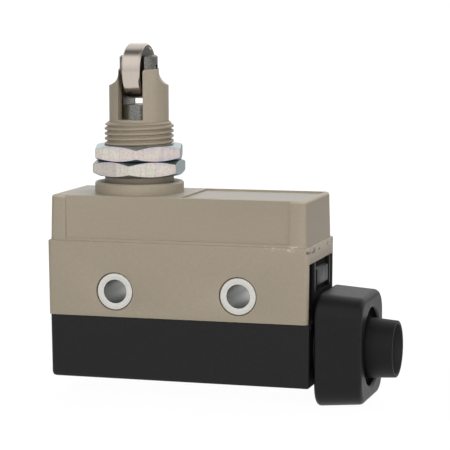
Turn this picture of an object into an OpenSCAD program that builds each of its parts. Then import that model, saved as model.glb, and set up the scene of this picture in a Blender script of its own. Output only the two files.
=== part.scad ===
// Enclosed snap-action limit switch with a panel-mounting cross-roller plunger.
// Millimetres. The origin lies midway between the two mounting holes, at mid depth:
// +X runs to the cable gland, -Y faces the front, +Z follows the plunger.

/* [Case] */
// Distance between the two mounting holes
hole_pitch = 25.4; // [24.4:0.1:26.4]
// Thickness of the case's two end walls
end_wall = 2; // [1.8:0.05:2.6]
// Thickness of the case's front and back walls
side_wall = 1.75; // [1.6:0.05:2.4]
// Height of the case's top above the hole centres
case_top = 18.95; // [18.5:0.05:21]
// Height of the skirt's upper edge above the hole centres
skirt_top = 9.9; // [8.5:0.1:11.5]
// Depth of the skirt's lower edge below the hole centres
skirt_drop = 5.05; // [4.8:0.05:6]
// How far the upper case steps in from the skirt on every side
skirt_step = 0.45; // [0.2:0.05:0.7]
// Draft of the upper case on every side
upper_draft = 0.2; // [0.1:0.1:0.6]
// Draft of the skirt's ends
skirt_draft = 0.15; // [0:0.05:0.4]
// Radius of the case's upright corners
corner_r = 0.9; // [0.7:0.1:1.4]
// Radius of the case's upper edges
top_edge_r = 0.5; // [0.2:0.1:0.6]
// Thickness of the case's roof
roof = 2.35; // [2:0.05:2.8]
// Depth of the shallow field on the upper front face
field_depth = 0.25; // [0.1:0.05:0.4]
// Length of the field on the upper front face
field_l = 46.2; // [30:0.1:48]
// Depth of the shallow pocket in the roof
pocket_depth = 0.4; // [0.2:0.05:0.8]
// Rim left round the roof's pocket
pocket_rim = 0.8; // [0.6:0.1:1.5]

/* [Mounting tubes] */
// Bore of the mounting tubes
tube_bore = 4.6; // [4.2:0.1:5]
// Wall of the mounting tubes
tube_wall = 0.65; // [0.4:0.05:0.7]
// Width of the tube's rim beyond its outer wall
rim_w = 0.6; // [0.4:0.05:0.8]
// Thickness of the tube's rim
rim_h = 0.6; // [0.4:0.05:0.7]
// How far the rim lies below the case's face
rim_recess = 0.2; // [0.1:0.05:0.3]
// Gap round the rim in the case
rim_gap = 0.3; // [0.1:0.05:0.5]

/* [Head] */
// Place of the plunger's axis along the case
head_x = -10.9; // [-11.4:0.1:-10.4]
// Diameter of the sleeve's flange
flange_d = 17.9; // [16.5:0.1:19]
// Height of the sleeve's flange
flange_h = 2.2; // [1.5:0.1:3]
// Outer diameter of the sleeve's thread
thread_d = 13.9; // [13.7:0.1:15]
// Height of the thread and the short neck on it, above the flange
thread_h = 12.55; // [11.5:0.05:15]
// Diameter of the plain sleeve above the thread
guard_d = 11.95; // [11.6:0.05:12.4]
// Height of the two guard posts above the thread
post_h = 10; // [9:0.1:10.6]
// Width kept between the two reliefs of the posts
relief_w = 7.9; // [7.4:0.1:8.6]
// Radius of the reliefs
relief_r = 2.7; // [2:0.1:3.2]
// Turn of the reliefs about the plunger's axis
relief_turn = 17; // [0:1:25]
// Rounding of the posts' upper corners
post_round = 0.5; // [0.2:0.05:0.7]
// Wall between the thread and the spring chamber
chamber_wall = 1.65; // [1.5:0.05:1.9]
// Length of the plunger's guide below the thread's upper end
guide_h = 5.7; // [5.2:0.1:6.5]
// Wall round the spigot that sits in the case's roof
spigot_wall = 1.3; // [1:0.05:1.5]

/* [Lock nuts] */
// Width of the lock nuts across their flats
nut_flats = 17; // [16:0.1:18]
// Height of each lock nut
nut_h = 3; // [2.5:0.1:3.3]
// Space between the flange and the lower nut
nut_rise = 1.55; // [0.5:0.05:2]
// Space between the two nuts
nut_gap = 0.08; // [0.05:0.01:0.2]
// Slope of the bevel at the nuts' corners
nut_slope = 25; // [15:1:30]
// Turn of the lower nut's front corner
lower_nut_turn = 7; // [0:0.5:60]
// Turn of the upper nut's front corner
upper_nut_turn = 13.5; // [0:0.5:60]

/* [Plunger] */
// Diameter of the plunger
plunger_d = 7.64; // [7.3:0.02:7.7]
// Travel of the plunger
travel = 4.5; // [3:0.1:4.6]
// Diameter of the roller
roller_d = 11; // [10:0.1:11.4]
// Width of the roller
roller_w = 3.9; // [3.4:0.1:4.2]
// Height of the roller's centre above the thread
roller_rise = 9.6; // [9.2:0.1:10.4]
// Bevel of the roller's edges
roller_bevel = 0.35; // [0.1:0.05:0.5]
// Depth of the round recess in the roller's sides
roller_dish = 0.25; // [0.1:0.05:0.4]
// Height of the fork's arms above the roller's centre
arm_rise = 3.1; // [2:0.1:3.6]
// Space between the roller and the fork's floor
fork_gap = 1.2; // [0.5:0.05:1.4]
// Diameter of the roller's axle
axle_d = 2.5; // [2:0.1:2.8]
// Diameter of the collar that stops the plunger
collar_d = 10.1; // [9.6:0.1:10.3]
// Height of the collar
collar_h = 1.5; // [1.2:0.1:2]
// Bore of the plunger for the overtravel spring
tail_bore = 4.6; // [4.4:0.1:5]
// Depth of that bore above the collar
bore_rise = 5; // [4:0.1:6]
// Thickness of the ring that keeps the push pin
keeper_h = 1; // [0.8:0.1:1.2]
// Diameter of the push pin
push_pin_d = 2.4; // [2:0.1:2.6]
// Thickness of the push pin's head
push_head_h = 1; // [0.8:0.1:1.4]
// Thickness of the plunger's seal ring
seal_section = 1.2; // [1:0.05:1.4]

/* [Springs] */
// Wire of the return spring
return_wire = 0.5; // [0.4:0.02:0.54]
// Turns of the return spring
return_turns = 6; // [4:1:7]
// Wire of the overtravel spring
over_wire = 0.4; // [0.3:0.02:0.5]
// Turns of the overtravel spring
over_turns = 8; // [5:1:10]
// Thickness of the return spring's seat
seat_h = 1; // [0.8:0.1:1.2]

/* [Terminal cover] */
// Depth of the cover's bottom below the hole centres
cover_drop = 17.7; // [17:0.1:20]
// How far the cover's sides lie inside the skirt
cover_inset = 0.3; // [0.1:0.05:0.4]
// Thickness of the cover's floor
cover_floor = 1.7; // [1.4:0.1:2.2]
// Radius of the cover's lower edge at its plain end
cover_edge_r = 0.8; // [0.4:0.1:0.8]
// Radius of the cover's upright corners at its plain end
cover_corner_r = 0.9; // [0.9:0.1:1.4]
// Radius of the cover's edges and corners at the gland
gland_edge_r = 0.4; // [0.3:0.1:0.6]
// Width of the gasket
gasket_w = 0.75; // [0.6:0.05:0.8]
// Height of the gasket
gasket_h = 0.7; // [0.5:0.05:0.8]
// Height of the latch plate above the hole centres
latch_top = 6.55; // [5.5:0.05:7.5]
// How far the latch plate stands out of the skirt
latch_proud = 0.25; // [0.1:0.05:0.4]
// Thickness of the latch plate
latch_t = 1.25; // [1.1:0.05:1.3]
// Width of the front and back corner walls beside the latch plate
latch_cheek = 1.15; // [1:0.05:1.5]
// Width of the hook lug at the cover's plain end
hook_w = 10; // [6:0.1:14]
// Height of the hook lug above the cover
hook_h = 3.6; // [2:0.1:5]
// Width of the window in the latch plate
window_w = 11.1; // [9:0.1:13]
// Thickness of the thin web behind the window
window_web = 0.5; // [0.4:0.05:0.7]
// Width of the latch tongue in the window
tongue_w = 8.9; // [6:0.1:9.5]
// Height of the latch tongue
tongue_h = 3.4; // [2.5:0.1:4]
// Space above the latch tongue
tongue_gap = 1.2; // [0.8:0.05:2.5]
// Width of the rebate down the latch plate's outer edges
latch_rebate = 1.4; // [0.5:0.1:2]

/* [Cable gland] */
// Depth of the gland's axis below the hole centres
gland_drop = 10.45; // [10.2:0.05:10.45]
// Outer diameter of the hub on the cover
hub_d = 14.4; // [14:0.1:14.6]
// Wall of the hub
hub_wall = 1.6; // [1.2:0.1:1.8]
// Length of the hub beyond the latch plate
hub_l = 4.7; // [4:0.1:6]
// Space between the latch plate and the cap
cap_gap = 0.7; // [0.5:0.05:1.2]
// Length of the cap
cap_l = 9.4; // [9:0.1:11]
// Height of the cap at its base
cap_base_h = 22.3; // [21:0.1:23]
// How far the cap's base lies inside the cover's front and back
cap_inset = 0; // [0:0.05:0.9]
// How much the cap's top and bottom draw in towards its end
cap_taper = 0.7; // [0:0.05:1.2]
// How much the cap's front and back draw in towards its end
cap_side_taper = 0.2; // [0:0.05:1]
// Radius of the cap's long corners
cap_corner_r = 4.5; // [3:0.1:5]
// Radius of the cap's outer edges
cap_edge_r = 1; // [0.4:0.1:1.2]
// Diameter of the recess in the cap's end
cap_mouth_d = 15.5; // [15:0.1:16]
// Thickness of the cap's inner lip
cap_lip = 1.1; // [0.9:0.1:1.4]
// Thickness of the slip washer
washer_h = 1; // [0.8:0.1:1.2]
// Thickness of the seal's flange
seal_flange_h = 1.2; // [1:0.1:1.5]
// Diameter of the cable tube at the cap
cable_tube_d = 11.9; // [11.5:0.1:12]
// Diameter of the cable tube at its end
cable_end_d = 11.2; // [10.8:0.1:11.4]
// How far the cable tube stands out of the cap
cable_reach = 5.1; // [4:0.1:8]
// Bore of the cable tube at its mouth
cable_mouth_d = 9.3; // [8.8:0.1:9.6]
// Depth of that mouth
cable_mouth_l = 5; // [3:0.1:6]
// Bore of the seal that grips the cable
cable_bore = 8.2; // [7:0.1:8.4]
// Length of the seal's tail in the hub
seal_tail = 3; // [2:0.1:3.6]

/* [Built-in switch] */
// Length of the built-in switch block
switch_l = 49.4; // [49:0.1:51]
// Depth of the built-in switch block
switch_d = 17.6; // [16.5:0.1:18.5]
// Depth of the block's underside below the hole centres
base_drop = 7; // [6.5:0.1:7.4]
// Height of the joint between the block's base and lid
base_top = 4.4; // [4.2:0.1:4.7]
// Height of the lid's top
lid_top = 14.2; // [14:0.05:14.5]
// Thickness of the lid's roof
lid_roof = 1.6; // [1.2:0.1:1.8]
// Thickness of the lid's walls
lid_wall = 1.7; // [1.4:0.1:2]
// Diameter of the switch button
button_d = 3.2; // [2.8:0.1:3.6]
// How far the button stands out of the lid
button_rise = 1.95; // [1.6:0.05:2]
// Stroke of the button
button_stroke = 0.45; // [0.3:0.05:0.5]
// Diameter of the button's inner shoulder
shoulder_d = 4.8; // [4.4:0.1:5.2]

/* [Contacts and terminals] */
// Thickness of the terminal strip
strip_t = 0.8; // [0.6:0.05:0.9]
// Width of the terminal strip
strip_w = 6; // [5:0.1:6.4]
// Distance of the outer terminals' legs from the mounting holes
leg_off = 4.5; // [4.1:0.1:4.8]
// Place of the contacts along the case
contact_x = 4; // [3.4:0.1:4.6]
// Diameter of the contacts
contact_d = 4; // [3.4:0.1:4.2]
// Height of a contact's head
contact_h = 0.7; // [0.5:0.05:0.8]
// Thickness of the snap blade
blade_t = 0.3; // [0.2:0.02:0.4]
// Diameter of the rolled bead that the blade rocks on
bead_d = 0.9; // [0.7:0.05:1.1]
// Height of the snap blade above the block's base
blade_rise = 3.7; // [3.5:0.05:3.8]
// Length of the bowed tongue in the blade
bow_l = 6.5; // [5:0.1:7]
// Width of the bowed tongue
bow_w = 2.4; // [2:0.1:2.8]
// Sag of the bowed tongue
bow_sag = 0.8; // [0.5:0.05:1]
// Height of the terminal screws' heads
screw_head_h = 2.4; // [2:0.1:2.8]
// Length of the terminal screws under the head
screw_l = 5; // [4.6:0.1:5.4]

/* [Fits] */
// Running clearance of sliding and turning parts, on the radius
run_gap = 0.06; // [0.03:0.01:0.08]
// Clearance of parts that sit fixed in a seat, on the radius
seat_gap = 0.03; // [0.01:0.01:0.05]
// Clearance of the built-in switch in the case
block_gap = 0.15; // [0.1:0.05:0.2]
// Clearance of the roller in the fork, on each side
fork_side_gap = 0.25; // [0.1:0.05:0.3]
// Clearance of the roller in the sleeve's slot, on each side
slot_side_gap = 0.65; // [0.5:0.01:0.7]
// Gap between parts that touch when the switch works
touch_gap = 0.05; // [0.03:0.01:0.08]

/* [Hidden] */
$fn = 72;

hull_fn = 32;
thin = 0.01;
over = 1;

// Case sizes that follow from the block inside
cavity_l = switch_l + 2 * block_gap;
cavity_d = switch_d + 2 * block_gap;
skirt_l = cavity_l + 2 * end_wall;
skirt_d = cavity_d + 2 * side_wall;
upper_l = skirt_l - 2 * skirt_step;
upper_d = skirt_d - 2 * skirt_step;
ceiling = case_top - roof;
field_drop = 0.5;
step_edge_r = 0.2;
pocket_off = 2.5;
pocket_start = head_x + flange_d / 2 + pocket_off;

// Mounting tubes
tube_d = tube_bore + 2 * tube_wall;
rim_d = tube_d + 2 * rim_w;
tube_l = skirt_d - 2 * rim_recess;
tube_mouth = 0.25;

// Head
flange_top = case_top + flange_h;
thread_top = flange_top + thread_h;
post_top = thread_top + post_h;
chamber_d = thread_d - 2 * chamber_wall;
chamber_top = thread_top - guide_h;
spigot_d = chamber_d + 2 * spigot_wall;
guide_d = plunger_d + 2 * run_gap;
slot_w = roller_w + 2 * slot_side_gap;
thread_bevel = 0.6;
neck_h = 0.5;
thread_end = thread_top - neck_h;
flange_bevel = 0.25;
groove_z = chamber_top + guide_h / 2;
lower_nut_z = flange_top + nut_rise;
upper_nut_z = lower_nut_z + nut_h + nut_gap;
nut_face_in = 0.1;
nut_corners = nut_flats / cos(30);
nut_face_d = nut_flats - 2 * nut_face_in;

// Plunger
roller_z = thread_top + roller_rise;
fork_floor = roller_z - roller_d / 2 - fork_gap;
arm_top = roller_z + arm_rise;
fork_w = roller_w + 2 * fork_side_gap;
arm_bevel = 0.3;
collar_z = chamber_top - collar_h - touch_gap;
tail_z = ceiling + touch_gap + travel;
bore_top = collar_z + collar_h + bore_rise;
head_z = tail_z + keeper_h + touch_gap;
button_top = lid_top + button_rise;
seat_clear = 0.35;
seat_bore = plunger_d + 2 * seat_clear;
axle_in = 0.35;
axle_l = plunger_d - 2 * axle_in;
roller_rim = 1.5;
roller_hub_d = roller_d - 2 * roller_rim;

// Cover and gland
cover_l = skirt_l - 2 * cover_inset;
cover_d = skirt_d - 2 * cover_inset;
cover_draft = 0.1;
seat_l = cavity_l + 2 * gasket_w + 2 * seat_gap;
seat_d = cavity_d + 2 * gasket_w + 2 * seat_gap;
latch_face = skirt_l / 2 + latch_proud;
latch_back = latch_face - latch_t;
latch_w = skirt_d - 2 * latch_cheek;
hook_face = cover_l / 2 - cover_draft;
hook_top = hook_h - skirt_drop;
gland_step = 0.1;
tongue_bevel = 0.35;
gland_face = latch_face - gland_step;
notch_gap = 0.05;
gland_z = -gland_drop;
hub_end = latch_face + hub_l;
hub_bore = hub_d - 2 * hub_wall;
cap_base_w = cover_d - 2 * cap_inset;
cap_x = latch_face + cap_gap;
cap_end = cap_x + cap_l;
flange_x = hub_end;
washer_x = flange_x + seal_flange_h;
lip_x = washer_x + washer_h;
thread_gap = 0.1;
tube_end = cap_end + cable_reach;

// Built-in switch
lid_inner_l = switch_l - 2 * lid_wall;
lid_inner_d = switch_d - 2 * lid_wall;
lid_ceiling = lid_top - lid_roof;
boss_wall = 1.5;
boss_d = button_d + 2 * boss_wall;
shoulder_h = 1;
tip_d = 0.8;
tip_h = 1.2;
leg_x = hole_pitch / 2 + leg_off;
blade_z = base_top + blade_rise;
blade_top = blade_z + blade_t;
bead_z = blade_z + blade_t / 2;
blade_margin = 0.8;
blade_end = contact_x + contact_d / 2 + blade_margin;
blade_start = -leg_x - strip_t / 2 - blade_margin;
lever = head_x + leg_x;
swing = button_stroke * (contact_x + contact_d / 2 + leg_x) / lever;
stud_d = contact_d / 2;
fixed_low_top = blade_z - contact_h - swing - 2 * touch_gap;
fixed_high_z = blade_top + contact_h + touch_gap;
bow_end = contact_x - contact_d / 2 - blade_margin;
bow_start = bow_end - bow_l;
bow_gap = 0.4;
lug_gap = 1;
lug_top = blade_z - button_stroke * (bow_start + leg_x) / lever - lug_gap;
pad_in = 0.5;
pad_margin = 0.3;
screw_neck = 0.63;
pad_l = switch_l / 2 - leg_x - strip_t / 2 - pad_in;
screw_head_d = pad_l - 2 * pad_margin;
screw_d = screw_head_d * screw_neck;
screw_z = -base_drop - strip_t;
screw_slot = 0.9;
screw_x = leg_x + pad_l / 2 + strip_t / 4;
open_screw_x = contact_x - pad_l / 2 - strip_t / 4;

// Shape helpers

// Two discs at the front and back of a block, at one place along it
module side_discs(x, d, z, r, inset) {
    for (sy = [-1, 1])
        translate([x, sy * (d / 2 - r), z]) cylinder(h = thin, r = max(r - inset, thin), $fn = hull_fn);
}

// Four discs at the corners of a rectangle
module corner_discs(l, d, z, r, inset) {
    for (sx = [-1, 1]) side_discs(sx * (l / 2 - r), d, z, r, inset);
}

// Drafted block with round upright corners; low_r and high_r round its lower and upper edges
module soft_block(low_l, low_d, low_z, high_l, high_d, high_z, r, low_r, high_r) {
    hull() {
        for (a = [0, 45, 90]) {
            corner_discs(low_l, low_d, low_z + low_r - low_r * sin(a), r, low_r * (1 - cos(a)));
            corner_discs(high_l, high_d, high_z - high_r + high_r * sin(a) - thin, r, high_r * (1 - cos(a)));
        }
    }
}

// Round bar along Z from one height to another
module bar(d, z0, z1) {
    translate([0, 0, z0]) cylinder(h = z1 - z0, d = d);
}

// Round bar along X from one place to another
module bar_x(d, x0, x1) {
    translate([x0, 0, 0]) rotate([0, 90, 0]) cylinder(h = x1 - x0, d = d);
}

// Box centred on y = 0, between two corners in X and Z
module slab(x0, x1, w, z0, z1) {
    translate([x0, -w / 2, z0]) cube([x1 - x0, w, z1 - z0]);
}

// Frame between two rectangles
module frame(outer_l, outer_d, inner_l, inner_d, z0, z1) {
    difference() {
        slab(-outer_l / 2, outer_l / 2, outer_d, z0, z1);
        slab(-inner_l / 2, inner_l / 2, inner_d, z0 - over, z1 + over);
    }
}

module at_head() {
    translate([head_x, 0, 0]) children();
}

module at_holes() {
    for (side = [-1, 1])
        translate([side * hole_pitch / 2, 0, 0]) rotate([90, 0, 0]) children();
}

module at_gland() {
    translate([0, 0, gland_z]) children();
}

// Coil of round wire about Z, as one ring of points after another
module coil(mean_r, wire, turns, z0, z1) {
    sides = 8;
    steps = 16;
    count = turns * steps;
    points = [
        for (i = [0:count], k = [0:sides - 1])
            let (turn = 360 * i / steps, tilt = 360 * k / sides, r = mean_r + wire / 2 * cos(tilt))
            [r * cos(turn), r * sin(turn), z0 + wire / 2 + (z1 - z0 - wire) * i / count + wire / 2 * sin(tilt)]
    ];
    walls = [
        for (i = [0:count - 1], k = [0:sides - 1])
            let (a = i * sides + k, b = i * sides + (k + 1) % sides)
            [a, b, b + sides, a + sides]
    ];
    first = [for (k = [0:sides - 1]) sides - 1 - k];
    last = [for (k = [0:sides - 1]) count * sides + k];
    polyhedron(points = points, faces = concat(walls, [first], [last]), convexity = turns * 2);
}

// Case

module case() {
    color("tan")
    difference() {
        union() {
            soft_block(skirt_l - 2 * skirt_draft, skirt_d, -skirt_drop, skirt_l, skirt_d, skirt_top,
                       corner_r, 0, step_edge_r);
            soft_block(upper_l, upper_d, skirt_top - over, upper_l - 2 * upper_draft, upper_d - 2 * upper_draft,
                       case_top, corner_r, 0, top_edge_r);
        }
        slab(-cavity_l / 2, cavity_l / 2, cavity_d, -skirt_drop - over, ceiling);
        at_head() bar(spigot_d + 2 * seat_gap, ceiling - over, case_top + over);
        at_holes() cylinder(h = skirt_d + 2 * over, d = tube_d + 2 * seat_gap, center = true);
        at_holes()
            for (side = [-1, 1])
                translate([0, 0, side * (skirt_d / 2 - rim_recess - rim_h + over)])
                    cylinder(h = 2 * over, d = rim_d + 2 * rim_gap, center = true);
        end_notches();
        front_field();
        roof_pocket();
    }
}

// Recesses of the end walls: one for the latch plate, one for the hook lug
module end_notches() {
    slab(latch_back - notch_gap, latch_face + over, latch_w + 2 * notch_gap, -skirt_drop - over,
         latch_top + notch_gap);
    slab(-latch_face - over, -latch_back + notch_gap, hook_w + 2 * notch_gap, -skirt_drop - over,
         hook_top + notch_gap);
}

// Shallow field on the upper front face, open at the top
module front_field() {
    translate([-field_l / 2, -upper_d / 2 - over, skirt_top + field_drop])
        cube([field_l, over + upper_draft + field_depth, case_top - skirt_top]);
}

// Shallow pocket in the roof, from the head to the right end
module roof_pocket() {
    end = upper_l / 2 - upper_draft - pocket_rim;
    slab(pocket_start, end, upper_d - 2 * upper_draft - 2 * pocket_rim, case_top - pocket_depth, case_top + over);
}

// Threaded sleeve of the head

module threaded_sleeve() {
    color("tan")
    at_head()
    difference() {
        rotate_extrude() sleeve_profile();
        bar(chamber_d, ceiling - over, chamber_top);
        bar(guide_d, chamber_top - over, post_top + over);
        bar(plunger_d + 2 * seal_section, groove_z - seal_section / 2 - seat_gap, groove_z + seal_section / 2 + seat_gap);
        roller_slot();
        for (side = [0, 180]) rotate([0, 0, side + relief_turn]) post_relief();
    }
}

module sleeve_profile() {
    polygon([
        [0, ceiling],
        [spigot_d / 2, ceiling],
        [spigot_d / 2, case_top],
        [flange_d / 2, case_top],
        [flange_d / 2, flange_top - flange_bevel],
        [flange_d / 2 - flange_bevel, flange_top],
        [thread_d / 2, flange_top],
        [thread_d / 2, thread_end - thread_bevel],
        [thread_d / 2 - thread_bevel, thread_end],
        [guard_d / 2, thread_end],
        [guard_d / 2, post_top],
        [0, post_top]
    ]);
}

// Slot for the roller, from front to back, with round upper corners
module roller_slot() {
    rotate([90, 0, 0]) linear_extrude(guard_d + 2 * over, center = true) {
        translate([-slot_w / 2, thread_top]) square([slot_w, post_h + over]);
        for (side = [-1, 1])
            scale([side, 1]) translate([slot_w / 2 - thin, post_top - post_round]) round_corner(post_round);
    }
}

// What a round corner of radius r takes off a square one
module round_corner(r) {
    difference() {
        square([r + thin, r + over]);
        translate([r + thin, 0]) circle(r);
        translate([r + thin, -r]) square([over, 2 * r + over]);
    }
}

// Hollow relief on one side of the posts
module post_relief() {
    edge = relief_w / 2;
    rotate([90, 0, 0]) linear_extrude(guard_d + 2 * over, center = true) {
        translate([edge + relief_r, post_top - relief_r / 4]) circle(relief_r);
        translate([edge, post_top - relief_r / 4]) square([guard_d, relief_r]);
        translate([edge + relief_r, post_top - relief_r * 5 / 4]) square([guard_d, 2 * relief_r]);
    }
}

// Lock nuts

module lock_nut(z, turn) {
    reach = nut_corners / 2 + nut_face_in;
    bevel = (reach - nut_face_d / 2) * tan(nut_slope);
    at_head() translate([0, 0, z]) difference() {
        intersection() {
            rotate([0, 0, turn - 90]) cylinder(h = nut_h, d = nut_corners, $fn = 6);
            rotate_extrude() polygon([
                [0, 0],
                [nut_face_d / 2, 0],
                [reach, bevel],
                [reach, nut_h - bevel],
                [nut_face_d / 2, nut_h],
                [0, nut_h]
            ]);
        }
        bar(thread_d + 2 * seat_gap, -over, nut_h + over);
    }
}

module lower_lock_nut() {
    color("lightsteelblue") lock_nut(lower_nut_z, lower_nut_turn);
}

module upper_lock_nut() {
    color("lightsteelblue") lock_nut(upper_nut_z, upper_nut_turn);
}

// Mounting tubes

module mounting_tube(side) {
    color("silver")
    translate([side * hole_pitch / 2, 0, 0]) rotate([90, 0, 0]) difference() {
        union() {
            cylinder(h = tube_l, d = tube_d, center = true);
            for (end = [-1, 1])
                translate([0, 0, end * (tube_l - rim_h) / 2]) cylinder(h = rim_h, d = rim_d, center = true);
        }
        cylinder(h = tube_l + 2 * over, d = tube_bore, center = true);
        for (end = [0, 180])
            rotate([end, 0, 0]) translate([0, 0, tube_l / 2 - tube_mouth])
                cylinder(h = tube_mouth + thin, d1 = tube_bore, d2 = tube_bore + 2 * tube_mouth);
    }
}

module left_mounting_tube() {
    mounting_tube(-1);
}

module right_mounting_tube() {
    mounting_tube(1);
}

// Terminal cover with its latch plate, hook lug and the gland's hub

module terminal_cover() {
    color("dimgray")
    difference() {
        union() {
            cover_body();
            latch_plate();
            slab(-hook_face, -latch_back, hook_w, -skirt_drop - over, hook_top);
            at_gland() bar_x(hub_d, latch_back, hub_end);
        }
        slab(-cavity_l / 2, cavity_l / 2, cavity_d, cover_floor - cover_drop, -skirt_drop + over);
        slab(-seat_l / 2, seat_l / 2, seat_d, -skirt_drop - gasket_h, -skirt_drop + over);
        at_gland() bar_x(cable_bore + 2 * thread_gap, cavity_l / 2 - over, hub_end + over);
        at_gland() bar_x(hub_bore, flange_x - seal_tail - seat_gap, hub_end + over);
    }
}

// Body of the cover: round corners at its plain end, crisp ones at the thick end that carries the gland
module cover_body() {
    plain_x = cover_corner_r - cover_l / 2;
    gland_x = gland_face - gland_edge_r;
    foot_d = cover_d - 2 * cover_draft;
    hull() {
        for (a = [0, 45, 90]) {
            rise = 1 - sin(a);
            inset = 1 - cos(a);
            side_discs(plain_x + cover_draft, foot_d, cover_edge_r * rise - cover_drop, cover_corner_r,
                       cover_edge_r * inset);
            side_discs(gland_x - cover_draft, foot_d, gland_edge_r * rise - cover_drop, gland_edge_r,
                       gland_edge_r * inset);
        }
        side_discs(plain_x, cover_d, -skirt_drop - thin, cover_corner_r, 0);
        side_discs(gland_x, cover_d, -skirt_drop - thin, gland_edge_r, 0);
    }
}

// Latch plate: a thin web, two posts between rebates, and a tongue with a bevelled head
module latch_plate() {
    sill = latch_top - tongue_gap - tongue_h - latch_t;
    difference() {
        slab(latch_back, latch_face, latch_w, -skirt_drop - over, latch_top);
        slab(latch_back + window_web, latch_face + over, window_w, sill, latch_top + over);
        for (side = [-1, 1])
            translate([0, side * latch_w / 2, 0])
                slab(latch_back + window_web, latch_face + over, 2 * latch_rebate, -skirt_drop, latch_top + over);
    }
    rotate([90, 0, 0]) linear_extrude(tongue_w, center = true) polygon([
        [latch_back, sill],
        [latch_face, sill + latch_t],
        [latch_face, latch_top - tongue_gap - tongue_bevel],
        [latch_back + window_web, latch_top - tongue_gap],
        [latch_back, latch_top - tongue_gap]
    ]);
}

module cover_gasket() {
    color("black")
    frame(seat_l - 2 * seat_gap, seat_d - 2 * seat_gap, cavity_l, cavity_d, -skirt_drop - gasket_h, -skirt_drop);
}

// Cable gland

module gland_cap() {
    color("dimgray")
    at_gland()
    difference() {
        rotate([0, 90, 0])
            soft_block(cap_base_h, cap_base_w, cap_x, cap_base_h - 2 * cap_taper, cap_base_w - 2 * cap_side_taper,
                       cap_end, cap_corner_r, cap_edge_r, cap_edge_r);
        bar_x(hub_d + 2 * thread_gap, cap_x - over, lip_x);
        bar_x(cable_tube_d + 2 * thread_gap, lip_x - over, cap_end);
        bar_x(cap_mouth_d, lip_x + cap_lip, cap_end + over);
    }
}

module gland_washer() {
    color("silver")
    at_gland()
    difference() {
        bar_x(hub_d, washer_x, lip_x);
        bar_x(cable_tube_d + 2 * seat_gap, washer_x - over, lip_x + over);
    }
}

// Rubber seal: tail in the hub, flange under the washer, tube out of the cap
module cable_seal() {
    tail_x = flange_x - seal_tail;
    color("black")
    at_gland() rotate([90, 0, 90]) rotate_extrude() polygon([
        [cable_bore / 2, tail_x],
        [hub_bore / 2 - seat_gap, tail_x],
        [hub_bore / 2 - seat_gap, flange_x],
        [hub_d / 2, flange_x],
        [hub_d / 2, washer_x],
        [cable_tube_d / 2, washer_x],
        [cable_tube_d / 2, cap_end],
        [cable_end_d / 2, tube_end],
        [cable_mouth_d / 2, tube_end],
        [cable_mouth_d / 2, tube_end - cable_mouth_l],
        [cable_bore / 2, tube_end - cable_mouth_l]
    ]);
}

// Plunger with its roller and springs

module plunger() {
    color("slategray")
    at_head()
    difference() {
        rotate_extrude() polygon([
            [0, tail_z],
            [plunger_d / 2, tail_z],
            [plunger_d / 2, collar_z],
            [collar_d / 2, collar_z],
            [collar_d / 2, collar_z + collar_h],
            [plunger_d / 2, collar_z + collar_h],
            [plunger_d / 2, arm_top - arm_bevel],
            [plunger_d / 2 - arm_bevel, arm_top],
            [0, arm_top]
        ]);
        slab(-fork_w / 2, fork_w / 2, plunger_d + 2 * over, fork_floor, arm_top + over);
        translate([0, 0, roller_z]) bar_x(axle_d + 2 * seat_gap, -plunger_d, plunger_d);
        bar(tail_bore, tail_z - over, bore_top);
    }
}

module roller_axle() {
    color("silver") at_head() translate([0, 0, roller_z]) bar_x(axle_d, -axle_l / 2, axle_l / 2);
}

module roller() {
    half = roller_w / 2;
    color("gainsboro")
    at_head() translate([0, 0, roller_z]) rotate([90, 0, 90]) rotate_extrude() polygon([
        [axle_d / 2 + run_gap, -half + roller_dish],
        [roller_hub_d / 2, -half + roller_dish],
        [roller_hub_d / 2, -half],
        [roller_d / 2 - roller_bevel, -half],
        [roller_d / 2, -half + roller_bevel],
        [roller_d / 2, half - roller_bevel],
        [roller_d / 2 - roller_bevel, half],
        [roller_hub_d / 2, half],
        [roller_hub_d / 2, half - roller_dish],
        [axle_d / 2 + run_gap, half - roller_dish]
    ]);
}

module plunger_seal() {
    color("black")
    at_head() rotate_extrude()
        translate([plunger_d / 2 + run_gap + (seal_section - run_gap) / 2, groove_z])
            circle(d = seal_section - run_gap - seat_gap, $fn = 32);
}

module return_spring() {
    color("lightgray")
    at_head()
        coil((plunger_d + chamber_d) / 4, return_wire, return_turns, ceiling + seat_h + touch_gap, collar_z - touch_gap);
}

module spring_seat() {
    color("silver")
    at_head() difference() {
        bar(chamber_d - 2 * seat_gap, ceiling, ceiling + seat_h);
        bar(seat_bore, ceiling - over, ceiling + seat_h + over);
    }
}

module overtravel_spring() {
    color("lightgray")
    at_head()
        coil((tail_bore + push_pin_d) / 4, over_wire, over_turns, head_z + push_head_h + touch_gap, bore_top - touch_gap);
}

module push_pin() {
    color("silver")
    at_head() {
        bar(push_pin_d, button_top + touch_gap, head_z + push_head_h);
        bar(tail_bore - 4 * run_gap, head_z, head_z + push_head_h);
    }
}

module pin_keeper() {
    color("silver")
    at_head() difference() {
        bar(tail_bore - 2 * seat_gap, tail_z, tail_z + keeper_h);
        bar(push_pin_d + 2 * run_gap, tail_z - over, tail_z + keeper_h + over);
    }
}

// Built-in switch block

module switch_base() {
    color("saddlebrown")
    difference() {
        slab(-switch_l / 2, switch_l / 2, switch_d, -base_drop, base_top);
        at_holes() cylinder(h = switch_d + 2 * over, d = tube_d + 2 * seat_gap, center = true);
        for (x = [-leg_x, contact_x, leg_x])
            slab(x - strip_t / 2 - touch_gap, x + strip_t / 2 + touch_gap, strip_w + 2 * touch_gap,
                 -base_drop - over, base_top + over);
        for (x = [-screw_x, open_screw_x, screw_x])
            translate([x, 0, 0]) bar(screw_d + 2 * seat_gap, -base_drop - over, screw_l - base_drop);
    }
}

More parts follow.
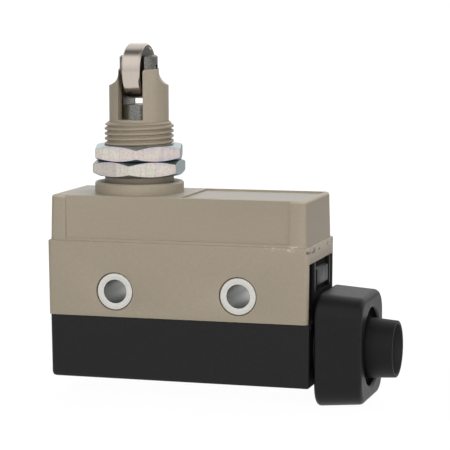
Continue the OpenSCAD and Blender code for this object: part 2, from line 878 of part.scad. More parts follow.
module switch_lid() {
    color("saddlebrown")
    difference() {
        union() {
            slab(-switch_l / 2, switch_l / 2, switch_d, base_top, lid_top);
            at_head() bar(boss_d, lid_top - thin, lid_top + button_rise / 2);
        }
        slab(-lid_inner_l / 2, lid_inner_l / 2, lid_inner_d, base_top - over, lid_ceiling);
        at_head() bar(button_d + 2 * run_gap, lid_ceiling - over, lid_top + button_rise);
    }
}

module switch_button() {
    color("darkred")
    at_head() {
        translate([0, 0, blade_top + touch_gap]) cylinder(h = tip_h, d1 = tip_d, d2 = button_d);
        bar(button_d, blade_top + touch_gap + tip_h - thin, button_top);
        bar(shoulder_d, lid_ceiling - touch_gap - shoulder_h, lid_ceiling - touch_gap);
    }
}

// Snap blade: two outer legs, a bowed tongue between them and a rolled bead to rock on
module snap_blade() {
    color("peru")
    difference() {
        union() {
            difference() {
                slab(blade_start, blade_end, strip_w, blade_z, blade_top);
                slab(bow_start - bow_gap, bow_end, bow_w + 2 * bow_gap, blade_z - over, blade_top + over);
            }
            rotate([90, 0, 0]) linear_extrude(bow_w, center = true) bow_profile();
            translate([-leg_x, 0, bead_z]) rotate([90, 0, 0]) cylinder(h = strip_w, d = bead_d, center = true);
        }
        translate([contact_x, 0, 0]) bar(stud_d + 2 * seat_gap, blade_z - over, blade_top + over);
    }
}

// Side outline of the bowed tongue, rooted in the blade at its right end
module bow_profile() {
    steps = 12;
    low = [for (i = [0:steps]) [bow_start + bow_l * i / steps, blade_z - bow_sag * sin(180 * i / steps)]];
    high = [for (i = [steps:-1:0]) [bow_start + bow_l * i / steps, blade_top - bow_sag * sin(180 * i / steps)]];
    polygon(concat(low, [[bow_end + blade_t, blade_z], [bow_end + blade_t, blade_top]], high));
}

module moving_contact() {
    color("silver")
    translate([contact_x, 0, 0]) {
        bar(contact_d, blade_z - contact_h, blade_z);
        bar(stud_d, blade_z - thin, blade_top + thin);
        bar(contact_d, blade_top, blade_top + contact_h);
    }
}

// Terminals folded from strip

// Leg through the base with a screw pad folded under the block
module terminal_leg(x, screw_at, top) {
    toward = sign(screw_at - x);
    pad_end = x + toward * (pad_l + strip_t / 2);
    difference() {
        union() {
            slab(x - strip_t / 2, x + strip_t / 2, strip_w, -base_drop - strip_t, top);
            slab(min(x, pad_end), max(x, pad_end), strip_w, -base_drop - strip_t, -base_drop);
        }
        translate([screw_at, 0, 0]) bar(screw_d + 2 * seat_gap, -base_drop - strip_t - over, -base_drop + over);
    }
}

module common_terminal() {
    color("goldenrod") {
        terminal_leg(-leg_x, -screw_x, bead_z - bead_d / 2 - touch_gap);
        slab(-leg_x, bow_start, strip_w, base_top, base_top + strip_t);
        slab(bow_start - strip_t, bow_start, strip_w, base_top, lug_top);
    }
}

module normally_open_terminal() {
    color("goldenrod") {
        terminal_leg(contact_x, open_screw_x, base_top + strip_t);
        slab(contact_x - contact_d / 2, contact_x + contact_d / 2, strip_w, base_top, base_top + strip_t);
    }
}

module normally_closed_terminal() {
    strip_z = fixed_high_z + contact_h;
    color("goldenrod") {
        terminal_leg(leg_x, screw_x, strip_z + strip_t);
        slab(contact_x - contact_d / 2, leg_x + strip_t / 2, strip_w, strip_z, strip_z + strip_t);
    }
}

module normally_open_contact() {
    color("silver") translate([contact_x, 0, 0]) bar(contact_d, base_top + strip_t, fixed_low_top);
}

module normally_closed_contact() {
    color("silver") translate([contact_x, 0, 0]) bar(contact_d, fixed_high_z, fixed_high_z + contact_h);
}

module terminal_screws() {
    color("silver")
    for (x = [-screw_x, open_screw_x, screw_x])
        translate([x, 0, 0]) difference() {
            union() {
                bar(screw_d, screw_z - thin, screw_z + screw_l);
                bar(screw_head_d, screw_z - screw_head_h, screw_z);
            }
            slab(-screw_head_d, screw_head_d, screw_slot, screw_z - screw_head_h - over, screw_z - screw_head_h / 2);
        }
}

case();
threaded_sleeve();
lower_lock_nut();
upper_lock_nut();
left_mounting_tube();
right_mounting_tube();
terminal_cover();
cover_gasket();
gland_cap();
gland_washer();
cable_seal();
plunger();
roller_axle();
roller();
plunger_seal();
return_spring();
spring_seat();
overtravel_spring();
push_pin();
pin_keeper();
switch_base();
switch_lid();
switch_button();
snap_blade();
moving_contact();
common_terminal();
normally_open_terminal();
normally_closed_terminal();
normally_open_contact();
normally_closed_contact();
terminal_screws();
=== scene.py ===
import math

import bmesh
import bpy
import numpy as np
from mathutils import Matrix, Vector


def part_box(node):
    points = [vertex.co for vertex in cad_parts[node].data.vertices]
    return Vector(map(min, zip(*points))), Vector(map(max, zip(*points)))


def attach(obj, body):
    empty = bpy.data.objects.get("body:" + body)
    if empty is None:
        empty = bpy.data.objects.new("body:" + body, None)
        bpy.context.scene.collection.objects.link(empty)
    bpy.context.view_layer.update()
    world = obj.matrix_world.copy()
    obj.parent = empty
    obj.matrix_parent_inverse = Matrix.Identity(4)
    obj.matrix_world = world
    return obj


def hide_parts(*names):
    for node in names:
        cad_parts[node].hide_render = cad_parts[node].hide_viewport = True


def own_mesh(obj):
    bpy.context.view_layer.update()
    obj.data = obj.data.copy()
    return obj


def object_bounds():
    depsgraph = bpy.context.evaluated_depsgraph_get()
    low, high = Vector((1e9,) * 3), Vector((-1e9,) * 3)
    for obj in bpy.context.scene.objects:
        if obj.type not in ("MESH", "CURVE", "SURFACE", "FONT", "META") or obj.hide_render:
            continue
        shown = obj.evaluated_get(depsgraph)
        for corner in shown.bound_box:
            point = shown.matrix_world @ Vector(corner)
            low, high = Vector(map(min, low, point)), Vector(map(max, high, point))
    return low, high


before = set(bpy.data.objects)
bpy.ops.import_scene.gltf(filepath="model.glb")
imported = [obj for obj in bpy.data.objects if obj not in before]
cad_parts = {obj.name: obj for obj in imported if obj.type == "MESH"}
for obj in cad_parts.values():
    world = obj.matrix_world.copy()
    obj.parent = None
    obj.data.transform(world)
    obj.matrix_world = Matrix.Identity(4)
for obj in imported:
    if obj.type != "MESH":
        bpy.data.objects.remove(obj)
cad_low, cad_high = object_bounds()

# Enclosed snap-action switch: looks of its mouldings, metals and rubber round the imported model.
# Sizes are in millimetres, in the frame of the solids.

MM = 0.001
TURN = 2 * math.pi
SAME_POINT = 1e-7
SAME_CORNER = 2e-6

# Head
HEAD_X = -10.9
FLANGE_TOP = 21.15
THREAD_TOP = 33.2
THREAD_R = 6.95
THREAD_PITCH = 1.0
THREAD_DEPTH = 0.6
THREAD_PHASE = 0.79
THREAD_MOUTH_R = 6.15
NECK_TOP = 21.9
CORE_R = 6.1
NUT_SINK = 0.2

# Case and cable gland
GLAND_Z = -10.45
TUBE_HANG = 0.3
SKIRT_EDGE = 9.9

# Places of wear, and of painted highlight and shade: for each axis where a patch starts, is full, stops being
# full, and ends
NICKS = {"Z": (SKIRT_EDGE - 0.4, SKIRT_EDGE - 0.1, SKIRT_EDGE + 0.1, SKIRT_EDGE + 0.4)}
NICKS_START = 6.0
NICKS_FULL = 20.0
SCUFF = {"X": (17.0, 22.0, 22.5, 26.0), "Y": (-11.0, -10.9, -9.5, -9.0), "Z": (8.9, 9.35, 9.55, 9.95)}
DENTS = {"X": (26.3, 26.5, 28.0, 28.1), "Z": (8.2, 8.7, 9.4, 9.7)}
# Band of the roof's rounded edge, where a highlight is painted
ROOF_HIGHLIGHT_BAND = {"Z": (18.2, 18.4, 19.0, 19.05)}
# Heights of the painted shade round the foot of the head's neck, under the nuts
NECK_SHADE_BAND = {"Z": (20.9, 21.1, 21.3, 22.9)}

# Radii up to which the painted shade round the neck's foot and the painted light in the cable's bore are
# full, and where they end
NECK_PAINTED_SHADE_R = (7.6, 8.3)
BORE_PAINTED_LIGHT_R = (4.9, 5.2)

# Latch plate at the gland's end
LATCH_FACE = 27.1
LATCH_WEB = 26.35
LATCH_FOOT = -5.0
LATCH_TOP = 6.55
PLATE_HALF = 10.0
WINDOW_SILL = 0.7
WINDOW_HALF = 5.55
TONGUE_HALF = 4.45


# Shapes worked out as grids of points

def lay_grid(name, points, wrap_rows=True, wrap_cols=True):
    """Mesh on a grid of points. Each cell becomes one four-sided face, and a wrapped direction joins
    its last line to its first. Doubled points are merged, and a shell that encloses a negative volume
    is turned round so that its faces point outwards."""
    rows, cols = points.shape[:2]
    row = np.arange(rows if wrap_rows else rows - 1)
    col = np.arange(cols if wrap_cols else cols - 1)
    row, col = np.meshgrid(row, col, indexing="ij")
    next_row = (row + 1) % rows
    next_col = (col + 1) % cols
    quads = np.stack([row * cols + col, next_row * cols + col,
                      next_row * cols + next_col, row * cols + next_col], axis=-1).reshape(-1, 4)
    flat = points.reshape(-1, 3) * MM
    a, b, c, d = (flat[quads[:, k]] for k in range(4))
    volume = np.sum(a * np.cross(b, c)) + np.sum(a * np.cross(c, d))
    if volume < 0:
        quads = quads[:, ::-1]
    mesh = bpy.data.meshes.new(name)
    mesh.from_pydata(flat.tolist(), [], quads.tolist())
    work = bmesh.new()
    work.from_mesh(mesh)
    bmesh.ops.remove_doubles(work, verts=work.verts, dist=SAME_POINT)
    work.to_mesh(mesh)
    work.free()
    mesh.shade_smooth()
    piece = bpy.data.objects.new(name, mesh)
    bpy.context.scene.collection.objects.link(piece)
    return piece


def rounded(corners, radii, steps=6, hold=0.08):
    """Closed outline from its corners. Each corner becomes an arc of its own radius that touches both
    sides, and one point just beyond each end of the arc keeps the sides flat in smooth shading.
    Leading dimensions, where there are any, are so many outlines side by side."""
    reach_share = 0.42
    hold_share = 0.06
    corners = np.asarray(corners, float)
    before = np.roll(corners, 1, axis=-2) - corners
    after = np.roll(corners, -1, axis=-2) - corners
    before_length = np.linalg.norm(before, axis=-1, keepdims=True)
    after_length = np.linalg.norm(after, axis=-1, keepdims=True)
    before = before / before_length
    after = after / after_length
    shorter = np.minimum(before_length, after_length)
    half = 0.5 * np.arccos(np.clip(np.sum(before * after, axis=-1, keepdims=True), -1, 1))
    reach = np.minimum(np.asarray(radii, float)[:, None] / np.tan(half), reach_share * shorter)
    radius = reach * np.tan(half)
    middle = before + after
    middle = middle / np.linalg.norm(middle, axis=-1, keepdims=True)
    centre = corners + middle * radius / np.sin(half)
    first = (corners + before * reach - centre)[..., None, :]
    last = (corners + after * reach - centre)[..., None, :]
    sweep = (math.pi - 2 * half)[..., None, :]
    share = np.linspace(0, 1, steps)[:, None]
    arc = (np.sin((1 - share) * sweep) * first + np.sin(share * sweep) * last) / np.sin(sweep)
    arc = centre[..., None, :] + arc
    beyond = reach + np.minimum(hold, hold_share * shorter)
    lead = (corners + before * beyond)[..., None, :]
    trail = (corners + after * beyond)[..., None, :]
    outline = np.concatenate([lead, arc, trail], axis=-2)
    return outline.reshape(*corners.shape[:-2], -1, 2)


def turned(outline, centre, axis, steps=96):
    """Points of a piece round an axis: a closed outline of radius and length, the same at every angle or
    one for each. A point at angle a is the radius times the cosine and sine of a on the other axes."""
    angle = np.linspace(0, TURN, steps, endpoint=False)[:, None]
    outline = np.asarray(outline, float)
    radius = outline[..., 0]
    along = outline[..., 1]
    points = np.zeros((steps, outline.shape[-2], 3))
    across, up = [k for k in range(3) if k != axis]
    points[..., axis] = along
    points[..., across] = radius * np.cos(angle) + centre[across]
    points[..., up] = radius * np.sin(angle) + centre[up]
    return points


def soft_step(low, high, value):
    """Rises smoothly from 0 at low to 1 at high."""
    share = np.clip((value - low) / (high - low), 0, 1)
    return share * share * (3 - 2 * share)


def thread_radius(angle, height):
    """Radius of the head's thread. The phase is the height in pitches less the angle in turns, so the
    ridge climbs one pitch each turn; the radius falls from crest to root along a wave with flattened
    crests and roots. The grooves fade out into the plain neck, and a cone takes off the upper end."""
    crest_flat = 0.3
    root_flat = 0.04
    roundness = 0.6
    fade = 0.9
    cone_slope = 1.3
    phase = height / THREAD_PITCH - angle / TURN + THREAD_PHASE
    wave = np.abs(2 * (phase - np.floor(phase)) - 1)
    flank = np.clip((wave - root_flat) / (1 - root_flat - crest_flat), 0, 1)
    flank = (1 - roundness) * flank + roundness * soft_step(0, 1, flank)
    depth = THREAD_DEPTH * soft_step(NECK_TOP, NECK_TOP + fade, height)
    cone = THREAD_MOUTH_R + cone_slope * (THREAD_TOP - height)
    return np.minimum(THREAD_R - depth * (1 - flank), cone)


def sleeve_thread():
    """Jacket of the threaded head: the thread's radius over a grid of angle and height outside, and a
    plain wall inside that is hidden in the sleeve."""
    around = 144
    rows = 190
    hidden = 0.15
    angle = np.linspace(0, TURN, around, endpoint=False)[:, None]
    height = np.linspace(FLANGE_TOP, THREAD_TOP, rows)[None, :]
    outer = thread_radius(angle, height)
    inner = np.full((len(angle), 2), CORE_R - hidden)
    radius = np.concatenate([outer, inner], axis=1)
    level = np.concatenate([height[0], [THREAD_TOP, FLANGE_TOP]])
    outline = np.stack([radius, np.broadcast_to(level, radius.shape)], axis=-1)
    return lay_grid("sleeve_thread", turned(outline, (HEAD_X, 0, 0), axis=2, steps=around))


def lock_nut(name, node, turn):
    """Hexagon lock nut, with one flat turned so many degrees from +X. At each angle the outline runs from
    the lower face over a bevel to the flank and back over the upper bevel; the flank's distance is half
    the width across flats over a smooth maximum of six cosines, which rounds the corners. Inside it
    follows the head's thread."""
    flats = 17.0
    flat_count = 6
    face_r = 8.4
    bevel = math.radians(25)
    corner_power = 150
    thread_gap = 0.05
    mouth = 0.55
    mouth_r = THREAD_R + 0.12
    edges = [0.06, 0.08, 0.07, 0.14, 0.2, 0.06, 0.05, 0.05]
    around = 360
    bore_rows = 30
    arc_points = 6
    corner_points = arc_points + 2
    low, high = (v[2] / MM - NUT_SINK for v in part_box(node))
    angle = np.linspace(0, TURN, around, endpoint=False)
    sides = math.radians(turn) + np.arange(flat_count) * TURN / flat_count
    facing = np.clip(np.cos(angle[:, None] - sides), 0, None)
    flank = flats / 2 * np.sum(facing ** corner_power, axis=1) ** (-1 / corner_power)
    drop = (flank - face_r) * math.tan(bevel)
    radii = np.stack(np.broadcast_arrays(mouth_r, face_r, flank, flank, face_r, mouth_r,
                                         mouth_r - mouth, mouth_r - mouth), axis=1)
    levels = np.stack(np.broadcast_arrays(low, low, low + drop, high - drop, high, high,
                                          high - mouth, low + mouth), axis=1)
    corners = np.stack([radii, levels], axis=-1)
    outline = rounded(corners, edges, arc_points)
    level = np.linspace(high - mouth, low + mouth, bore_rows)
    grip = thread_radius(angle[:, None], level) + thread_gap
    bore = np.stack([grip, np.broadcast_to(level, grip.shape)], axis=-1)
    outline = np.concatenate([outline[:, :-2 * corner_points], bore], axis=1)
    return lay_grid(name, turned(outline, (HEAD_X, 0, 0), axis=2, steps=around))


def mounting_tube(name, node):
    """Turned tube whose two ends are rolled into bright rims: one outline of the wall and the slightly
    hollow rims, carried round the hole's axis."""
    low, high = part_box(node)
    middle = [(low[k] + high[k]) / 2 / MM for k in range(3)]
    end = high[1] / MM
    bore_r = 2.3
    wall_r = 2.95
    rim_r = 3.7
    rim_h = 0.6
    hollow = 0.13
    mid_r = (bore_r + rim_r) / 2
    rim = [(bore_r, end), (mid_r, end - hollow), (rim_r, end), (rim_r, end - rim_h), (wall_r, end - rim_h)]
    radii = [0.26, 1.0, 0.24, 0.05, 0.05]
    corners = [(radius, -along) for radius, along in rim] + rim[::-1]
    return lay_grid(name, turned(rounded(corners, radii + radii[::-1]), middle, axis=1, steps=120))


def roller_wheel():
    """Roller: a turned outline with a bevelled tread, a shallow dish in each side and a bore."""
    low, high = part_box("roller")
    centre = [(low[k] + high[k]) / 2 / MM for k in range(3)]
    half = (high[0] - low[0]) / 2 / MM
    tread_r = (high[1] - low[1]) / 2 / MM
    x = centre[0]
    bore_r = 1.31
    dish_r = 4.85
    dish = 0.25
    slope = 0.12
    bevel = 0.36
    side = [(bore_r, half - dish), (dish_r - slope, half - dish), (dish_r, half), (tread_r - bevel, half),
            (tread_r, half - bevel)]
    radii = [0.1, 0.05, 0.05, 0.05, 0.08]
    corners = [(radius, x - along) for radius, along in side]
    corners += [(radius, x + along) for radius, along in side[::-1]]
    outline = rounded(corners, radii + radii[::-1], steps=9)
    return lay_grid("roller_wheel", turned(outline, centre, axis=0, steps=160))


def axle_pin():
    """Roller axle: a turned outline that starts and ends on the axis, with rounded edges."""
    low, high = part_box("roller_axle")
    centre = [(low[k] + high[k]) / 2 / MM for k in range(3)]
    radius = (high[2] - low[2]) / 2 / MM
    start, end = low[0] / MM, high[0] / MM
    edge = 0.3
    arc_points = 7
    rise = np.linspace(0, math.pi / 2, arc_points)
    outline = np.concatenate([
        [(0, start)],
        np.stack([radius - edge + edge * np.sin(rise), start + edge - edge * np.cos(rise)], axis=-1),
        np.stack([radius - edge + edge * np.cos(rise), end - edge + edge * np.sin(rise)], axis=-1),
        [(0, end)],
    ])
    return lay_grid("axle_pin", turned(outline, centre, axis=0, steps=64), wrap_cols=False)


def spring_coil(name, node, wire, turns):
    """Coil spring: a round wire carried along a helix. The height stays level over the end turns and
    rises evenly between them, and the wire's section turns with it; both wire ends are closed."""
    low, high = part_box(node)
    centre = [(low[k] + high[k]) / 2 / MM for k in range(2)]
    mean_r = (high[0] - low[0]) / 2 / MM - wire / 2
    foot = low[2] / MM + wire / 2
    top = high[2] / MM - wire / 2
    flat_turns = 0.75
    turn_points = 40
    girth_points = 14
    along = np.linspace(0, turns, turns * turn_points + 1)
    rise = np.clip((along - flat_turns) / (turns - 2 * flat_turns), 0, 1)
    height = foot + (top - foot) * rise
    girth = np.linspace(0, TURN, girth_points, endpoint=False)
    scale = np.ones_like(along)
    scale[[0, -1]] = 0
    radius = mean_r + wire / 2 * scale[:, None] * np.cos(girth)
    level = height[:, None] + wire / 2 * scale[:, None] * np.sin(girth)
    angle = (TURN * along)[:, None]
    points = np.stack([centre[0] + radius * np.cos(angle), centre[1] + radius * np.sin(angle), level],
                      axis=-1)
    return lay_grid(name, points, wrap_rows=False)


def round_rectangle(half_y, half_z, corner, arc_steps=14, side_steps=10):
    """Rounded rectangle about an axis as one ring of points: four corner arcs joined by straight sides,
    with the same number of points whatever its size."""
    half_y, half_z, corner = (np.atleast_1d(v)[:, None] for v in (half_y, half_z, corner))
    turn = np.linspace(0, math.pi / 2, arc_steps)
    ring = []
    for quarter, (sign_y, sign_z) in enumerate(((1, 1), (-1, 1), (-1, -1), (1, -1))):
        bend = turn + quarter * math.pi / 2
        arc_y = sign_y * (half_y - corner) + corner * np.cos(bend)
        arc_z = sign_z * (half_z - corner) + corner * np.sin(bend)
        ring.append(np.stack([arc_y, arc_z], axis=-1))
    parts = []
    share = np.linspace(0, 1, side_steps + 2)[1:-1, None]
    for arc, following in zip(ring, ring[1:] + ring[:1]):
        start = arc[:, -1:]
        parts += [arc, start + (following[:, :1] - start) * share]
    return np.concatenate(parts, axis=1)


def gland_nut():
    """Gland cap: rounded rectangles stacked along X, drawn in on arcs at both outer edges, and joined over
    the end faces to the round mouth, lip and bore inside. Every ring has the same points, so the stack
    is one closed grid."""
    low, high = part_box("gland_cap")
    base_x, end_x = low[0] / MM, high[0] / MM
    half_y = (high[1] - low[1]) / 2 / MM
    half_z = (high[2] - low[2]) / 2 / MM
    corner = 4.5
    side_taper = 0.2
    taper = 0.7
    base_edge = 0.9
    end_edge = 1.1
    bore_r = 7.3
    lip_r = 6.05
    lip_x = 34.0
    floor_x = 35.1
    mouth_r = 7.75
    mouth_edge = 0.55
    mouth_l = 0.8
    hold = 0.1
    foot_edge = 0.4
    flat_share = 0.06
    arc_points = 10
    wall_points = 8
    wall_margin = 0.04
    mouth_points = 8
    bend = np.linspace(0, math.pi / 2, arc_points)
    wall = np.linspace(wall_margin, 1 - wall_margin, wall_points)
    wall_x = base_x + base_edge + (end_x - base_x - base_edge - end_edge) * wall
    outer_x = np.concatenate([base_x + base_edge - base_edge * np.cos(bend), wall_x,
                              end_x - end_edge + end_edge * np.sin(bend)])
    inset = np.concatenate([base_edge - base_edge * np.sin(bend), np.zeros_like(wall_x),
                            end_edge - end_edge * np.cos(bend)])
    share = (outer_x - base_x) / (end_x - base_x)
    outer = round_rectangle(half_y - side_taper * share - inset, half_z - taper * share - inset,
                            corner - inset)
    outer = np.concatenate([np.broadcast_to(outer_x[:, None, None], (*outer.shape[:2], 1)), outer], axis=-1)
    direction = np.arctan2(outer[0, :, 2] / half_z, outer[0, :, 1] / half_y)
    hole_bend = np.linspace(0, math.pi / 2, mouth_points)
    hole_r = np.concatenate([
        mouth_r + mouth_edge - mouth_edge * np.sin(hole_bend), [mouth_r, mouth_r, mouth_r - hold],
        [lip_r + hold, lip_r, lip_r, lip_r, bore_r - hold, bore_r, bore_r, bore_r + foot_edge],
    ])
    hole_x = np.concatenate([
        end_x - mouth_edge + mouth_edge * np.cos(hole_bend), [end_x - mouth_l, floor_x + hold, floor_x],
        [floor_x, floor_x - hold, lip_x + hold, lip_x, lip_x, lip_x - hold, base_x + foot_edge, base_x],
    ])
    hole = np.stack([np.broadcast_to(hole_x[:, None], (len(hole_x), len(direction))),
                     hole_r[:, None] * np.cos(direction), hole_r[:, None] * np.sin(direction)], axis=-1)
    rim = outer[-1:] + (hole[:1] - outer[-1:]) * flat_share
    foot = outer[:1] + (hole[-1:] - outer[:1]) * flat_share
    rings = np.concatenate([outer, rim, hole, foot])
    rings[..., 2] += GLAND_Z
    return lay_grid("gland_nut", rings)


def cable_tube():
    """Rubber cable seal: a turned outline of tail, flange, and a tube that narrows to a flared mouth.
    Beyond the cap's lip the points sink by a smooth step, as the soft tube hangs a little."""
    low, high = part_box("cable_seal")
    tail_x, end_x = low[0] / MM, high[0] / MM
    flange_x = 31.8
    washer_x = 33.0
    cap_end = 37.2
    bore_r = 4.1
    tail_r = 5.57
    flange_r = 7.2
    tube_r = 5.95
    end_r = 5.6
    mouth_r = 5.0
    throat_r = 4.3
    mouth_l = 5.0
    corners = [
        (bore_r, tail_x), (tail_r, tail_x), (tail_r, flange_x), (flange_r, flange_x), (flange_r, washer_x),
        (tube_r, washer_x), (tube_r, cap_end), (end_r, end_x), (mouth_r, end_x), (throat_r, end_x - mouth_l),
        (bore_r, end_x - mouth_l),
    ]
    radii = [0.2, 0.2, 0.1, 0.15, 0.15, 0.1, 2.0, 0.32, 0.3, 0.4, 0.2]
    hang_start = 35.2
    hang_end = 38.5
    points = turned(rounded(corners, radii, steps=7), (0, 0, GLAND_Z), axis=0, steps=128)
    points[..., 2] -= TUBE_HANG * soft_step(hang_start, hang_end, points[..., 0])
    return lay_grid("cable_tube", points)


def gasket_cord():
    """Cover gasket: a flattened round section carried along the rectangle of its seat, with soft corners."""
    low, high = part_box("cover_gasket")
    width = 0.75
    tall = (high[2] - low[2]) / MM
    level = (high[2] + low[2]) / 2 / MM
    half_x = high[0] / MM
    half_y = high[1] / MM
    squareness = 0.5
    corner_slack = 0.02
    girth_points = 20
    bend = np.linspace(0, TURN, girth_points, endpoint=False)
    across = np.sign(np.cos(bend)) * np.abs(np.cos(bend)) ** squareness * width / 2
    up = np.sign(np.sin(bend)) * np.abs(np.sin(bend)) ** squareness * tall / 2
    inset = width / 2 - across
    ring = round_rectangle(half_x - inset, half_y - inset, width - inset + corner_slack)
    height = np.broadcast_to((level + up)[:, None, None], (*ring.shape[:2], 1))
    points = np.concatenate([ring, height], axis=-1)
    return lay_grid("gasket_cord", points)


def softened(name, node, width, angle=18):
    """Copy of a solid with its points merged, its flat faces joined up, and every edge sharper than the
    angle rounded to a small width."""
    flat_angle = 0.5
    edge_segments = 3
    piece = bpy.data.objects.new(name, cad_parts[node].data.copy())
    bpy.context.scene.collection.objects.link(piece)
    piece.data.materials.clear()
    work = bmesh.new()
    work.from_mesh(piece.data)
    bmesh.ops.remove_doubles(work, verts=work.verts, dist=SAME_CORNER)
    bmesh.ops.dissolve_limit(work, angle_limit=math.radians(flat_angle), verts=work.verts, edges=work.edges)
    work.to_mesh(piece.data)
    work.free()
    for layer in list(piece.data.uv_layers):
        piece.data.uv_layers.remove(layer)
    if piece.data.has_custom_normals:
        piece.data.normals_split_custom_set([(0, 0, 0)] * len(piece.data.loops))
    piece.data.shade_smooth()
    edge = piece.modifiers.new("soft_edges", "BEVEL")
    edge.width = width * MM
    edge.segments = edge_segments
    edge.limit_method = "ANGLE"
    edge.angle_limit = math.radians(angle)
    edge.harden_normals = True
    edge.use_clamp_overlap = True
    return piece


def narrow_head(piece):
    """Draws the plain threaded length of the sleeve in to the thread's root, so that the thread stands
    on it: points in that length move in along their radius."""
    mesh = piece.data
    points = np.zeros(len(mesh.vertices) * 3, np.float32)
    mesh.vertices.foreach_get("co", points)
    points = points.reshape(-1, 3)
    x, y, z = points.T / MM
    x = x - HEAD_X
    radius = np.hypot(x, y)
    margin = 0.02
    band = (z > FLANGE_TOP - margin) & (z < THREAD_TOP + margin)
    band = band & (radius > CORE_R) & (radius < THREAD_R + margin)
    share = np.where(band, CORE_R / np.maximum(radius, margin), 1)
    points[:, 0] = (HEAD_X + x * share) * MM
    points[:, 1] = y * share * MM
    mesh.vertices.foreach_set("co", points.ravel())
    mesh.update()


# Materials

# Tints of the zinc film, from thin to thick
FILM_TINTS = ((0.0, "#e6e6de"), (0.18, "#f2ecde"), (0.36, "#f2e5de"), (0.52, "#eadee6"), (0.7, "#dadee6"),
              (1.0, "#ccdbdc"))
# Pale grey painted on the tan moulding's level faces as sheen
PAINTED_LEVEL_SHEEN = "#b4b2ae"
DIRT = "#575046"
# Painted shade under the nuts, round the foot of the head's neck
NECK_PAINTED_SHADE = "#756c5e"
# Painted highlight on the roof's rounded edge
PAINTED_EDGE_HIGHLIGHT = "#c4b6a0"
# Black painted as shade in the latch plate's hollows
HOLLOW_PAINTED_SHADE = "#040404"
HOLLOW_PAINTED_SHADE_ROUGH = 0.9
RUBBED_ROUGH = 0.3
DULL_ROUGH = 0.4


def linear(code):
    """Linear shader colour of an sRGB hex value."""
    value = np.array([int(code[k:k + 2], 16) for k in (1, 3, 5)]) / 255
    value = np.where(value <= 0.04045, value / 12.92, ((value + 0.055) / 1.055) ** 2.4)
    return (*value.tolist(), 1.0)


def per_mm(size):
    """Pattern scale, in repeats to the metre, of a feature of this size in millimetres."""
    return 1 / (size * MM)


def add(tree, kind, values=None, links=None, **options):
    """Adds one node to a tree with its options, socket values and links. A link starts at a socket, or at
    the first output of a node. A Mix node has its factor at 0, its two numbers at 2 and 3, and its two
    colours at 6 and 7; its colour comes out at 2."""
    node = tree.nodes.new(kind)
    for key, value in options.items():
        setattr(node, key, value)
    for key, value in (values or {}).items():
        node.inputs[key].default_value = value
    for key, source in (links or {}).items():
        tree.links.new(getattr(source, "outputs", [source])[0], node.inputs[key])
    return node


def ramp(tree, value, stops):
    """Colours along a value: each stop is the value and the hex colour that it has there."""
    node = add(tree, "ShaderNodeValToRGB", links={0: value})
    marks = node.color_ramp.elements
    for mark, (position, code) in zip((marks[0], marks[1]), (stops[0], stops[-1])):
        mark.position = position
        mark.color = linear(code)
    for position, code in stops[1:-1]:
        marks.new(position).color = linear(code)
    return node


def begin(name, **shader_values):
    """New material with an empty tree, its shader and the object coordinates that its patterns read."""
    material = bpy.data.materials.new(name)
    material.use_nodes = True
    tree = material.node_tree
    tree.nodes.clear()
    place = add(tree, "ShaderNodeTexCoord").outputs["Object"]
    shader = add(tree, "ShaderNodeBsdfPrincipled", values=shader_values)
    add(tree, "ShaderNodeOutputMaterial", links={"Surface": shader})
    return material, tree, place, shader


def within(tree, *limits):
    """0 to 1, as the product of some limits. Each is a value, the level of it that counts for nothing and
    the level that counts in full."""
    mask = None
    for value, none, full in limits:
        step = add(tree, "ShaderNodeMapRange", {"From Min": none, "From Max": full}, {"Value": value})
        if mask is not None:
            step = add(tree, "ShaderNodeMath", links={0: mask, 1: step}, operation="MULTIPLY")
        mask = step
    return mask


def zone(tree, place, *boxes, share=None):
    """1 inside any of some boxes of the object's coordinates and 0 outside, times a share if there is one.
    For an axis that a box names, its span gives, in millimetres, where the axis starts to count, where it
    counts in full, where that ends, and where it is 0 again."""
    axes = add(tree, "ShaderNodeSeparateXYZ", links={0: place}).outputs
    mask = None
    for box in boxes:
        limits = []
        for axis, (start, full, last, end) in box.items():
            limits.append((axes[axis], start * MM, full * MM))
            limits.append((axes[axis], end * MM, last * MM))
        inside = within(tree, *limits)
        if mask is not None:
            inside = add(tree, "ShaderNodeMath", links={0: mask, 1: inside}, operation="MAXIMUM")
        mask = inside
    if share is not None:
        mask = add(tree, "ShaderNodeMath", links={0: share, 1: mask}, operation="MULTIPLY")
    return mask


def round_axis(tree, place, centre, across, full, none):
    """1 up to a distance in millimetres from an axis, and 0 from a larger one on. The axis runs through the
    centre, along the direction that has 0 in across."""
    shift = [-share * value * MM for share, value in zip(across, centre)]
    offset = add(tree, "ShaderNodeMapping", {"Location": shift, "Scale": across}, {"Vector": place})
    radius = add(tree, "ShaderNodeVectorMath", links={0: offset}, operation="LENGTH").outputs["Value"]
    return within(tree, (radius, none * MM, full * MM))


def facing(tree, axis, none, full):
    """0 to 1 as the surface turns to face along an axis, either way: the size of its normal's share on that
    axis, from the value that counts for nothing to the value that counts in full."""
    normal = add(tree, "ShaderNodeTexCoord").outputs["Normal"]
    share = add(tree, "ShaderNodeSeparateXYZ", links={0: normal}).outputs[axis]
    share = add(tree, "ShaderNodeMath", links={0: share}, operation="ABSOLUTE")
    return within(tree, (share, none, full))


def laid_over(tree, body, mask, code):
    """Colour of a finish with another one laid over it where the mask is 1."""
    coat = add(tree, "ShaderNodeMix", {7: linear(code)}, {0: mask, 6: body}, data_type="RGBA")
    return coat.outputs[2]


def dress(tree, shader, body, sheen, height, relief, depth):
    """Gives a shader its colour, its roughness, and a relief that is so many millimetres deep."""
    bump = add(tree, "ShaderNodeBump", {"Strength": relief, "Distance": depth * MM}, {"Height": height})
    tree.links.new(body, shader.inputs["Base Color"])
    tree.links.new(sheen.outputs[0], shader.inputs["Roughness"])
    tree.links.new(bump.outputs[0], shader.inputs["Normal"])


